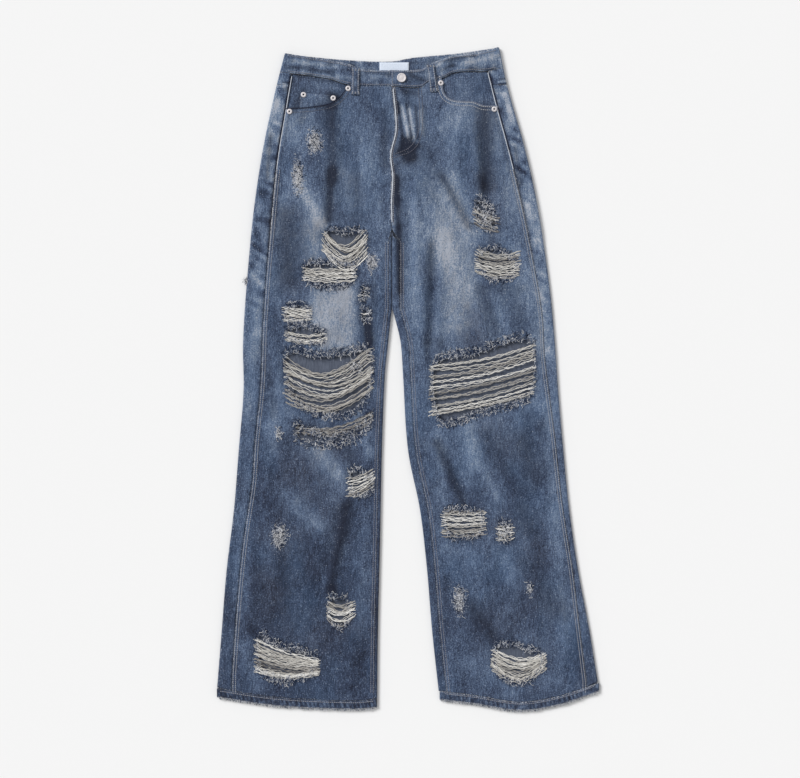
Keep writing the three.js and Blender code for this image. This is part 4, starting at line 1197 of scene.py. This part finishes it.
# %% Belt loops
LOOP_WIDTH = 13.0
LOOP_THICKNESS = 1.6
LOOP_ARCH = 1.2
# top and bottom of the two front loops
LOOP_RIGHT = ((-86, 512), (-86.5, 467))
LOOP_LEFT = ((36.5, 518), (43, 472))


def loop_bed(x, y):
    """What a front loop lies on: the front, then the band."""
    on_band = smoothstep(y, front_band_bottom(x) - 6, front_band_bottom(x))
    return lerp(face(x, y), BAND_FACE + 0.6, on_band)


def front_loop(name, top, bottom):
    t, w = np.meshgrid(np.linspace(0, 1, 18), np.linspace(-0.5, 0.5, 9), indexing="ij")
    x = lerp(top[0], bottom[0], t) + w * LOOP_WIDTH
    y = lerp(top[1], bottom[1], t)
    arch = LOOP_ARCH * np.sin(math.pi * t)
    z = loop_bed(x, y) + GAP + LOOP_THICKNESS + arch - 0.9 * (2 * np.abs(w)) ** 6
    z = z + 0.25 * np.cos(math.tau * 3 * w)
    return patch(name, x, y, z, LOOP_THICKNESS, DENIM_LOOKS["trim"], 0.5)


def back_loop(name, middle):
    t, w = np.meshgrid(np.linspace(0, 1, 12), np.linspace(-0.5, 0.5, 5), indexing="ij")
    low, high = float(back_band_bottom(middle)) - 12, float(back_band_top(middle)) - 1
    x, y = middle + w * LOOP_WIDTH, lerp(high, low, t)
    return patch(name, x, y, 0 * x + 0.15, 1.0, DENIM_LOOKS["trim"], 0.5, up=-1.0)


# %% Back pockets
def back_pocket(name, middle):
    u, v = np.meshgrid(np.linspace(-1, 1, 30), np.linspace(0, 1, 30), indexing="ij")
    x = middle + u * lerp(73.0, 67.0, v)
    bottom = 414 - lerp(148.0, 118.0, np.abs(u))
    y = lerp(414.0, bottom, v)
    return patch(name, x, y, 0 * x, 1.0, DENIM_LOOKS["pocket"], 0.52, up=-1.0)


loop_right = front_loop("loop_front_right", *LOOP_RIGHT)
loop_left = front_loop("loop_front_left", *LOOP_LEFT)
back_loops = [back_loop("loop_back_right", -150.0), back_loop("loop_back_centre", CENTRE),
              back_loop("loop_back_left", 98.0)]
back_pockets = [back_pocket("back_pocket_right_cloth", -128.0), back_pocket("back_pocket_left_cloth", 78.0)]

# %% [markdown]
# ## Label
# A small woven label is sewn inside the back of the band and shows over the front's edge. It is
# blank, of pale cotton, so a plain patch with a fine bright grain is enough.

# %% Blank cotton label
cotton, cotton_tree, cotton_body = new_look("label_cotton_cloth", 0.8)
weave = ramp(cotton_tree, grain(cotton_tree, 900, (1, 0.4, 1), 2.0),
             [(0.2, srgb(196, 207, 224)), (0.8, srgb(228, 236, 248))])
cotton_tree.links.new(weave, cotton_body.inputs["Base Color"])
t, x = np.meshgrid(np.linspace(0, 1, 8), np.linspace(-47, 1.6, 18), indexing="ij")
y = lerp(521.5, 503.0, t)
LABEL_THICKNESS = 0.6
z = 0 * x + SEAT_LIFT + BAND_THICKNESS + GAP + LABEL_THICKNESS + 0.15 * np.sin(x / 9)
label = patch("size_label_cloth", x, y, z, LABEL_THICKNESS, cotton, 0.5)
print("small patches made")

# %% [markdown]
# ## Yarns and fibres
# Loose cross threads and frayed ends are the same thing at two sizes: a line with a round section.
# Python lays the lines, and one Geometry Nodes tree gives them all their thickness.

# %% A tree that spins lines into yarn
def new_tree(name, sizes, made):
    """A tree that takes lines, some sizes and a material, and puts out a mesh."""
    tree = bpy.data.node_groups.new(name, "GeometryNodeTree")
    for label, kind in [("Lines", "Geometry"), *sizes, ("Finish", "Material")]:
        tree.interface.new_socket(label, in_out="INPUT", socket_type="NodeSocket" + kind)
    tree.interface.new_socket(made, in_out="OUTPUT", socket_type="NodeSocketGeometry")
    return tree, tree.nodes.new("NodeGroupInput"), tree.nodes.new("NodeGroupOutput")


def end_tree(tree, given, result, shape):
    """Makes what the tree built real, gives it its material and puts it out."""
    real = wire(tree, "GeometryNodeRealizeInstances", {"Geometry": shape})
    finish = wire(tree, "GeometryNodeSetMaterial",
                  {"Geometry": real.outputs["Geometry"], "Material": given.outputs["Finish"]})
    tree.links.new(finish.outputs["Geometry"], result.inputs[0])


def spinning_tree():
    tree, given, result = new_tree("spin_yarn", [("Radius", "Float"), ("Sides", "Int")], "Yarn")
    path = wire(tree, "GeometryNodeMeshToCurve", {"Mesh": given.outputs["Lines"]})
    section = wire(tree, "GeometryNodeCurvePrimitiveCircle",
                   {"Radius": given.outputs["Radius"], "Resolution": given.outputs["Sides"]})
    yarn = wire(tree, "GeometryNodeCurveToMesh",
                {"Curve": path.outputs["Curve"], "Profile Curve": section.outputs["Curve"],
                 "Fill Caps": True})
    end_tree(tree, given, result, yarn.outputs["Mesh"])
    return tree


# %% Running a tree over lines
def socket_id(tree, label):
    return next(item.identifier for item in tree.interface.items_tree
                if item.item_type == "SOCKET" and item.in_out == "INPUT" and item.name == label)


def grown(name, lines, tones, tree, settings, material):
    """Runs a tree over polylines and keeps what it makes as a plain mesh."""
    points = np.concatenate(lines) * MM
    starts = np.cumsum([0, *[len(line) for line in lines]])
    edges = np.concatenate([np.stack([np.arange(a, b - 1), np.arange(a + 1, b)], -1)
                            for a, b in zip(starts[:-1], starts[1:])])
    mesh = bpy.data.meshes.new(name + "_lines")
    mesh.from_pydata(points.tolist(), edges.tolist(), [])
    mesh.attributes.new("tone", "FLOAT", "POINT").data.foreach_set(
        "value", np.repeat(tones, [len(line) for line in lines]).astype(np.float32))
    source = bpy.data.objects.new(name + "_lines", mesh)
    scene.collection.objects.link(source)
    growth = source.modifiers.new("grow", "NODES")
    growth.node_group = tree
    for label, value in settings.items():
        growth[socket_id(tree, label)] = value
    growth[socket_id(tree, "Finish")] = material
    graph = bpy.context.evaluated_depsgraph_get()
    result = bpy.data.meshes.new_from_object(source.evaluated_get(graph), preserve_all_data_layers=True,
                                             depsgraph=graph)
    bpy.data.objects.remove(source)
    result.name = name
    piece = bpy.data.objects.new(name, result)
    scene.collection.objects.link(piece)
    print(f"{name}: {len(lines)} lines, {sum(len(p.vertices) - 2 for p in result.polygons)} triangles")
    return piece


spin = spinning_tree()


# %% Looks of yarn and fibre
def thread_look(name, stops, rough=0.9):
    material, tree, body = new_look(name, rough)
    uneven = maths(tree, "SUBTRACT", grain(tree, 160, detail=3.0), 0.5)
    mixed = maths(tree, "ADD", attribute(tree, "tone"), maths(tree, "MULTIPLY", uneven, 0.5))
    tree.links.new(ramp(tree, mixed, stops), body.inputs["Base Color"])
    tree.links.new(raised(tree, grain(tree, 1500), 0.4, 0.0003), body.inputs["Normal"])
    body.inputs["Specular IOR Level"].default_value = 0.15
    return material


ecru = thread_look("ecru_yarn", [
    (0.0, srgb(92, 90, 92)), (0.25, srgb(156, 152, 148)), (0.6, srgb(204, 201, 195)),
    (1.0, srgb(236, 234, 230)),
])
fray_look = thread_look("frayed_fibre", [
    (0.0, srgb(26, 33, 52)), (0.3, srgb(56, 70, 98)), (0.55, srgb(124, 134, 154)),
    (0.8, srgb(196, 199, 206)), (1.0, srgb(222, 222, 224)),
])

# %% Cross threads hanging in the tears
def cross_threads(tear, draw):
    """Threads in loose groups, each with its own sag and waves."""
    low_left, high_left, low_right, high_right, left, right = tear["threads"][:6]
    groups, each, sag_low, sag_high = tear["threads"][6:]
    lines, tones = [], []
    steps = max(12, int((right - left) / 2.6))
    t = np.linspace(0, 1, steps)
    for g in range(groups):
        level = (g + 0.5 + draw.uniform(-0.28, 0.28)) / groups
        group_sag = lerp(sag_low, sag_high, level)
        group_sag += draw.uniform(-1, 1) * min(3.0, 0.25 * group_sag)
        lean = draw.uniform(-0.14, 0.14)
        group_tone = draw.uniform(0.35, 1.0) - tear.get("soiled", 0.0)
        for k in range(each):
            spread = (k - (each - 1) / 2) * draw.uniform(0.6, 1.15) + draw.uniform(-0.5, 0.5)
            tilt = draw.normal(0, 1.1) * (2 * t - 1)
            sag = group_sag * draw.uniform(0.9, 1.1)
            start = left + draw.uniform(-3, 4)
            end = right + draw.uniform(-4, 3)
            x = lerp(start, end, t)
            bow = np.clip(1 - np.abs(2 * t - 1 + lean) ** 1.7, 0, 1)
            y = lerp(lerp(low_left, high_left, level), lerp(low_right, high_right, level), t)
            y = y + spread * (0.7 + 0.5 * np.sin(math.pi * t)) + tilt - sag * bow
            y = y + 0.95 * np.sin(math.tau * (x / draw.uniform(13, 26)) + draw.uniform(0, 6))
            y = y + 0.4 * np.sin(math.tau * (x / draw.uniform(6, 11)) + draw.uniform(0, 6))
            away = -outside(x, y, tear["edge"])
            dip = smoothstep(away, -1, 10) * draw.uniform(0.0, 1.4)
            z = face(x, y) + 0.55 + 0.35 * draw.uniform(-1, 1) - dip + 0.25 * np.sin(x / 3 + 7 * k)
            lines.append(np.stack([x, y, z], -1))
            tones.append(group_tone + draw.uniform(-0.35, 0.2))
    return lines, tones


# %% Cut ends round a tear
def curly(x, y, heading, length, draw, curl_by=1.3, points=5):
    """A short fibre on the cloth that turns a little at every step."""
    swing = draw.uniform(-curl_by, curl_by) * 1.6
    turns = np.cumsum(draw.normal(0, curl_by * 0.45, points)) + swing * np.linspace(0, 1, points)
    step = length / (points - 1)
    way = heading + turns
    px = x + np.concatenate([[0], np.cumsum(np.cos(way[:-1]) * step)])
    py = y + np.concatenate([[0], np.cumsum(np.sin(way[:-1]) * step)])
    lift = 0.25 + draw.uniform(0.1, 1.0) * np.sin(math.pi * np.linspace(0.1, 0.9, points))
    return np.stack([px, py, face(px, py) + lift], -1)


FRINGE_TONES = [0.08, 0.3, 0.55, 0.85, 1.0]
FRINGE_SHARES = [0.28, 0.24, 0.2, 0.18, 0.1]


def fringe(tear, draw, density=3.6):
    """Cut warp ends round a tear: a tangled band above and below it, short ends at its sides."""
    edge = tear["edge"]
    following = np.roll(edge, -1, 0)
    lines, tones = [], []
    middle = edge.mean(0)
    span_all = float(np.ptp(edge[:, 0]))
    for start, end in zip(edge, following):
        span = float(np.hypot(*(end - start)))
        way = (end - start) / max(span, 1e-6)
        out = np.array([way[1], -way[0]])
        if np.dot(out, (start + end) / 2 - middle) < 0:
            out = -out
        upright = abs(out[1])
        for _ in range(draw.poisson(span * density * (0.3 + 0.7 * upright))):
            reach = (-1.0, 2.0 + 11.0 * upright) if span_all > 90 else (-1.5, 2.0 + 6.0 * upright)
            root = lerp(start, end, draw.uniform()) + out * draw.uniform(*reach)
            push = -out if draw.uniform() < 0.5 else out
            aim_x = lerp(push[0], 0.3 * draw.normal(), upright)
            aim_y = lerp(push[1], math.copysign(1.0, push[1]), upright)
            heading = math.atan2(aim_y, aim_x) + draw.normal(0, 0.45)
            length = draw.uniform(2.5, 7.5) * (0.5 + 0.5 * upright)
            length = length * (1.6 if draw.uniform() < 0.05 else 1.0)
            lines.append(curly(root[0], root[1], heading, length, draw))
            tones.append(draw.choice(FRINGE_TONES, p=FRINGE_SHARES))
    return lines, tones


def tuft(x0, y0, wide, high, count, draw, pale=0.66):
    """Short tangled fibres on a rubbed place."""
    lines, tones = [], []
    for _ in range(count):
        x, y = x0 + draw.normal(0, wide * 0.42), y0 + draw.normal(0, high * 0.42)
        heading = draw.normal(0, 0.6) + (0 if draw.uniform() < 0.6 else math.pi / 2)
        lines.append(curly(x, y, heading, draw.uniform(3.0, 8.0), draw, 1.7))
        tones.append(draw.uniform(0.72, 1.1) if draw.uniform() < pale else draw.uniform(-0.1, 0.25))
    return lines, tones


# %% The yarns of both legs
CROSS_THREAD = dict(Radius=0.00052, Sides=5)
CUT_END = dict(Radius=0.00038, Sides=3)
TUFT_DENSITY = 0.75
yarn_pieces = {}
for leg_name in ("right", "left"):
    hanging, hanging_tones, frayed, frayed_tones = [], [], [], []
    for tear in TEARS.values():
        if tear["leg"] != leg_name:
            continue
        lines, tones = cross_threads(tear, chance)
        hanging += lines
        hanging_tones += tones
        lines, tones = fringe(tear, chance)
        frayed += lines
        frayed_tones += tones
    for px, py, wide, high, strength in RUBBED:
        if (px > CENTRE) == (leg_name == "left"):
            count = int(wide * high * TUFT_DENSITY * strength)
            lines, tones = tuft(px, py, wide, high, count, chance)
            frayed += lines
            frayed_tones += tones
    yarn_pieces[leg_name] = [
        grown(f"cross_threads_{leg_name}", hanging, hanging_tones, spin, CROSS_THREAD, ecru),
        grown(f"frayed_edges_{leg_name}", frayed, frayed_tones, spin, CUT_END, fray_look),
    ]

# %% [markdown]
# ## Stitches
# Topstitching runs beside every seam as short threads a few millimetres long. A second tree walks a
# line, sets down one stitch at each step and turns it along the line.

# %% A tree that sews
def sewing_tree():
    sizes = [("Pitch", "Float"), ("Length", "Float"), ("Radius", "Float")]
    tree, given, result = new_tree("sew", sizes, "Stitches")
    path = wire(tree, "GeometryNodeMeshToCurve", {"Mesh": given.outputs["Lines"]})
    walk = wire(tree, "GeometryNodeResampleCurve",
                {"Curve": path.outputs["Curve"], "Length": given.outputs["Pitch"]}, mode="LENGTH")
    stitch = wire(tree, "GeometryNodeMeshCylinder",
                  {"Vertices": 6, "Radius": given.outputs["Radius"], "Depth": given.outputs["Length"]})
    tangent = wire(tree, "GeometryNodeInputTangent").outputs["Tangent"]
    turn = wire(tree, "FunctionNodeAlignRotationToVector", {"Vector": tangent}, axis="Z")
    sewn = wire(tree, "GeometryNodeInstanceOnPoints",
                {"Points": walk.outputs["Curve"], "Instance": stitch.outputs["Mesh"],
                 "Rotation": turn.outputs["Rotation"]})
    end_tree(tree, given, result, sewn.outputs["Instances"])
    return tree


sew = sewing_tree()
thread = thread_look("seam_thread_cotton", [
    (0.0, srgb(34, 38, 56)), (0.5, srgb(132, 134, 146)), (1.0, srgb(206, 208, 212)),
])


# %% Where the stitches run
ROW_STEP = 3.0


def on_front(x, y, lift=0.25):
    return np.stack([x, y, face(x, y) + lift], -1)


def leg_seams(leg):
    lines = []
    side = leg["side"]
    y = np.arange(-515, 225, ROW_STEP)
    seam = inner_edge(leg, y) + side * leg["inset"]
    for offset in (1.6, 5.6):
        lines.append(on_front(seam + side * offset, y))
    y = np.arange(-515, 344, ROW_STEP)
    for offset in (2.0, 6.0):
        lines.append(on_front(leg["outseam"](y) - side * offset, y))
    return lines


fly_j = spline([[22, 480], [24, 440], [23, 410], [17, 388], [4, 374], [-12, 368], [-22, 364]], 14)
fly_inner = spline([[17, 480], [19, 440], [18, 412], [12, 393], [1, 380], [-14, 373], [-22, 370]], 14)
fly_rows = np.arange(255, 482, ROW_STEP)
fly_fold = np.stack([fly_edge(fly_rows) + 3.2, fly_rows], -1)
front_lines = [on_front(line[:, 0], line[:, 1]) for line in (fly_j, fly_inner, fly_fold)]
for edge, side in ((POCKET_EDGE_RIGHT, -1), (POCKET_EDGE_LEFT, 1)):
    line = spline(edge)
    way = np.gradient(line, axis=0)
    way = way / np.linalg.norm(way, axis=1, keepdims=True)
    across = np.stack([way[:, 1], -way[:, 0]], -1)
    across = across * np.sign(-across[:, 1:2] - 1e-9)
    for offset in (2.4, 7.6):
        moved = line + across * offset
        front_lines.append(on_front(moved[:, 0], moved[:, 1]))
front_lines += leg_seams(RIGHT) + leg_seams(LEFT)

# %% Stitch lines of the band, hems and loops
band_lines = []
x = np.arange(-196, 144, ROW_STEP)
for share in (0.1, 0.9):
    y = lerp(front_band_bottom(x), front_band_top(x), share)
    z = BAND_FACE + 0.45 + np.where((x > LAP_START) & (x < LAP_END + 16), LAP_RISE, 0)
    band_lines.append(np.stack([x, y, z], -1))
y = np.linspace(486, 505, 8)
band_lines.append(np.stack([LAP_START + 2.2 + 0 * y, y, BAND_FACE + LAP_RISE + 0.4 + 0 * y], -1))

hem_lines = []
HEM_ROW = 11.0
for leg, low, high in ((RIGHT, -308, -58), (LEFT, 62, 306)):
    x = np.arange(low, high, ROW_STEP)
    for z in (HEM_FACE + 0.25, 0.15):
        hem_lines.append(np.stack([x, leg["hem"](x) + HEM_ROW, 0 * x + z], -1))

loop_lines = []
for (tx, ty), (bx, by) in (LOOP_RIGHT, LOOP_LEFT):
    for share in (0.06, 0.1, 0.9, 0.94):
        x = lerp(tx, bx, share) + np.linspace(-5, 5, 5)
        y = lerp(ty, by, share) + 0 * x
        bed = np.where(share < 0.5, BAND_FACE + 0.9, face(x, y))
        loop_lines.append(np.stack([x, y, bed + 2.7 + 0 * x], -1))
    for w in (-4.3, 4.3):
        t = np.linspace(0.12, 0.88, 12)
        x, y = lerp(tx, bx, t) + w, lerp(ty, by, t)
        z = loop_bed(x, y) + 2.1 + LOOP_ARCH * np.sin(math.pi * t)
        loop_lines.append(np.stack([x, y, z], -1))

# %% Sew
SEWING = dict(Pitch=0.0034, Length=0.0024, Radius=0.0005)
front_tones = [0.3, 0.3, 0.6, 0.1, 0.25, 0.95, 0.75] + [0.5, 0.5, 0.72, 0.66] * 2
seams_front = grown("stitches_front", front_lines, front_tones, sew, SEWING, thread)
seams_band = grown("stitches_waistband", band_lines, [0.55] * len(band_lines), sew, SEWING, thread)
seams_hem = grown("stitches_hems", hem_lines, [0.6] * len(hem_lines), sew, SEWING, thread)
seams_loop = grown("stitches_loops", loop_lines, [0.75] * len(loop_lines), sew, SEWING, thread)

# %% [markdown]
# ## Seam edges worn white, and painted shadow lines
# Where a seam is thick it stands up and is rubbed to its white core, beside a navy line that is partly
# unworn indigo and partly painted shadow of the seam. The yarn tree spins both as thin ridges along the
# outseams, the fly and the pocket mouths.

# %% Worn seam edges and painted shadow lines
ridge_white_and_shadow_look = thread_look("seam_ridge_white_and_shadow_look", [
    (0.0, srgb(20, 25, 44)), (0.3, srgb(60, 66, 88)), (0.6, srgb(134, 142, 160)),
    (1.0, srgb(214, 219, 228)),
])
ridge_white_and_shadow_lines, ridge_white_and_shadow_tones = [], []
for leg, low, high in ((RIGHT, 345, 501), (LEFT, 345, 505)):
    y = np.arange(low, high, ROW_STEP)
    ridge_white_and_shadow_lines.append(on_front(leg["outseam"](y) - leg["side"] * 0.9, y, 0.05))
    ridge_white_and_shadow_tones.append(0.9)
    # A navy ridge just outside the white one: partly unworn indigo, partly painted shadow beside the seam.
    ridge_white_and_shadow_lines.append(on_front(leg["outseam"](y) + leg["side"] * 1.6, y, 0.0))
    ridge_white_and_shadow_tones.append(0.02)
y = np.arange(258, 480, ROW_STEP)
ridge_white_and_shadow_lines.append(on_front(fly_edge(y) + 0.4, y, 0.3))
ridge_white_and_shadow_tones.append(1.0)
# A navy ridge right of the fly's white edge: painted shadow beside the fly, with unworn indigo.
ridge_white_and_shadow_lines.append(on_front(fly_edge(y) + 2.6, y, -0.1))
ridge_white_and_shadow_tones.append(0.0)
# Along the pocket mouths: a navy ridge on the right, painted shadow at the mouth's edge; a mid blue ridge
# on the left.
for edge, tone in ((POCKET_EDGE_RIGHT, 0.08), (POCKET_EDGE_LEFT, 0.5)):
    mouth_line = spline(edge)
    ridge_white_and_shadow_lines.append(on_front(mouth_line[:, 0], mouth_line[:, 1] - 0.8, 0.1))
    ridge_white_and_shadow_tones.append(tone)
RIDGE_WHITE_AND_SHADOW = dict(Radius=0.00068, Sides=8)
ridges_white_and_shadow = grown("seam_ridges_white_and_shadow", ridge_white_and_shadow_lines, ridge_white_and_shadow_tones, spin, RIDGE_WHITE_AND_SHADOW, ridge_white_and_shadow_look)

# %% [markdown]
# ## Frayed hems
# The lower edge of each hem is worn through to short white ends, and one tuft stands off the side.

# %% Frayed hems
HEM_FIBRES = 900


def hem_fibres(leg, low, high, draw):
    lines, tones = [], []
    for x0 in draw.uniform(low, high, HEM_FIBRES):
        length = draw.uniform(1.0, 5.0)
        heading = -math.pi / 2 + draw.normal(0, 0.6)
        s = np.linspace(0, 1, 3)
        x = x0 + length * s * math.cos(heading)
        y = leg["hem"](x0) + 1.2 + length * s * math.sin(heading)
        z = HEM_FACE - 1.0 - draw.uniform(0, 3.4) + 0.5 * s
        lines.append(np.stack([x, y, z], -1))
        tones.append(draw.uniform(0.6, 1.0) if draw.uniform() < 0.7 else 0.2)
    return lines, tones


right_lines, right_tones = hem_fibres(RIGHT, -312, -56, chance)
left_lines, left_tones = hem_fibres(LEFT, 56, 312, chance)
SIDE_TUFT = (-267.5, 160.0)
SIDE_TUFT_DROP = 1.5
side_lines, side_tones = tuft(*SIDE_TUFT, 5, 9, 34, chance)
side_lines = [line - [0, 0, SIDE_TUFT_DROP] for line in side_lines]
fray_lines = right_lines + left_lines + side_lines
fray_tones = right_tones + left_tones + side_tones
hem_fray = grown("frayed_hems", fray_lines, fray_tones, spin, dict(Radius=0.0004, Sides=3), fray_look)

# %% [markdown]
# ## Button and rivets
# Both are turned metal: a profile swept round an axis. The button has a raised rim round a dished
# face, and each rivet has a bright ring round a dark centre.

# %% Turned metal
metal, metal_tree, metal_body = new_look("aged_nickel", 0.55)
metal_body.inputs["Metallic"].default_value = 0.35
NICKEL_SHADES = [(0.3, srgb(196, 190, 192)), (0.7, srgb(226, 223, 225))]
tarnish = ramp(metal_tree, grain(metal_tree, 700, detail=4.0), NICKEL_SHADES)
metal_tree.links.new(tarnish, metal_body.inputs["Base Color"])
metal_tree.links.new(raised(metal_tree, grain(metal_tree, 1800), 0.25, 0.0002), metal_body.inputs["Normal"])


def turned_piece(name, profile, x, y, z, sides=40):
    """A closed turned shape; the profile starts and ends on the axis."""
    ring = np.arange(sides) / sides * math.tau
    points = [[x, y, z + profile[0][1]]]
    for radius, height in profile[1:-1]:
        points += [[x + radius * math.cos(a), y + radius * math.sin(a), z + height] for a in ring]
    points.append([x, y, z + profile[-1][1]])
    triangles = []
    rings = len(profile) - 2
    last = len(points) - 1
    for i in range(sides):
        j = (i + 1) % sides
        triangles.append([0, 1 + j, 1 + i])
        for r in range(rings - 1):
            a, b = 1 + r * sides + i, 1 + r * sides + j
            triangles += [[a, b, b + sides], [a, b + sides, a + sides]]
        triangles.append([last, 1 + (rings - 1) * sides + i, 1 + (rings - 1) * sides + j])
    return make_mesh(name, np.array(points, float), np.array(triangles), {}, metal)


# %% Button
button = turned_piece("waist_button_metal", [
    (0, 0), (3.6, 0), (3.6, 0.9), (7.4, 1.3), (7.6, 2.0), (7.4, 2.7), (6.8, 3.1), (6.2, 3.0), (5.8, 2.8),
    (3.2, 2.8), (2.6, 2.9), (1.2, 3.0), (0, 3.0),
], -10.6, 495.0, BAND_FACE + LAP_RISE + GAP, 56)

# %% Rivets, each at x, y and so many layers of cloth down
RIVETS = [(-172, 468, 1), (-123, 462, 1), (-98.5, 478, 0), (-195, 440, 0), (54, 487, 0), (142, 444, 0)]
rivets = []
for i, (x, y, layers) in enumerate(RIVETS):
    bed = float(face(x, y)) - layers * LAYER + GAP
    rivets.append(turned_piece(f"rivet_metal_{i + 1}", [
        (0, 0), (4.4, 0), (4.5, 0.5), (4.2, 1.0), (3.4, 1.3), (2.4, 1.3), (1.5, 1.2), (1.3, 0.4),
        (0.6, 0.3), (0, 0.3),
    ], float(x), float(y), bed))
SOCKET_RADIUS = 1.6
dark_metal, _, dark_body = new_look("dark_socket")
dark_body.inputs["Base Color"].default_value = srgb(52, 50, 54)
for piece, (x, y, _) in zip(rivets, RIVETS):
    piece.data.materials.append(dark_metal)
    corners = piece.data.vertices
    for polygon in piece.data.polygons:
        at = [corners[i].co for i in polygon.vertices]
        reach = max(math.hypot(corner.x - x * MM, corner.y - y * MM) for corner in at)
        polygon.material_index = 1 if reach < SOCKET_RADIUS * MM else 0
print("button and", len(rivets), "rivets turned")

# %% [markdown]
# ## Putting the cloth in
# Each piece of cloth hides the plain solid of the frame that it replaces and joins the one body.


finish_cloth(front_right, "front_panel_right")
finish_cloth(front_left, "front_panel_left")
finish_cloth(back_right, "back_panel_right")
finish_cloth(back_left, "back_panel_left")
finish_cloth(yoke_right, "yoke_right")
finish_cloth(yoke_left, "yoke_left")
finish_cloth(band, "waistband")
finish_cloth(hem_right, "hem_right")
finish_cloth(hem_left, "hem_left")
finish_cloth(facing_right, "pocket_facing_right")
finish_cloth(facing_left, "pocket_facing_left")
finish_cloth(coin, "coin_pocket")
finish_cloth(loop_right, "belt_loop_front_right")
finish_cloth(loop_left, "belt_loop_front_left")
for piece, place_name in zip(back_loops, ("right", "centre", "left")):
    finish_cloth(piece, f"belt_loop_back_{place_name}")
for piece, place_name in zip(back_pockets, ("right", "left")):
    finish_cloth(piece, f"back_pocket_{place_name}")
finish_cloth(label, "size_label")

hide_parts("waist_button")
for i, piece in enumerate(rivets):
    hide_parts(f"rivet_{i + 1}")
for piece in (button, *rivets):
    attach(piece, ALL)
for piece in [*yarn_pieces["right"], *yarn_pieces["left"], hem_fray]:
    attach(piece, ALL)
for piece in (seams_front, seams_band, seams_hem, seams_loop, ridges_white_and_shadow):
    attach(piece, ALL)
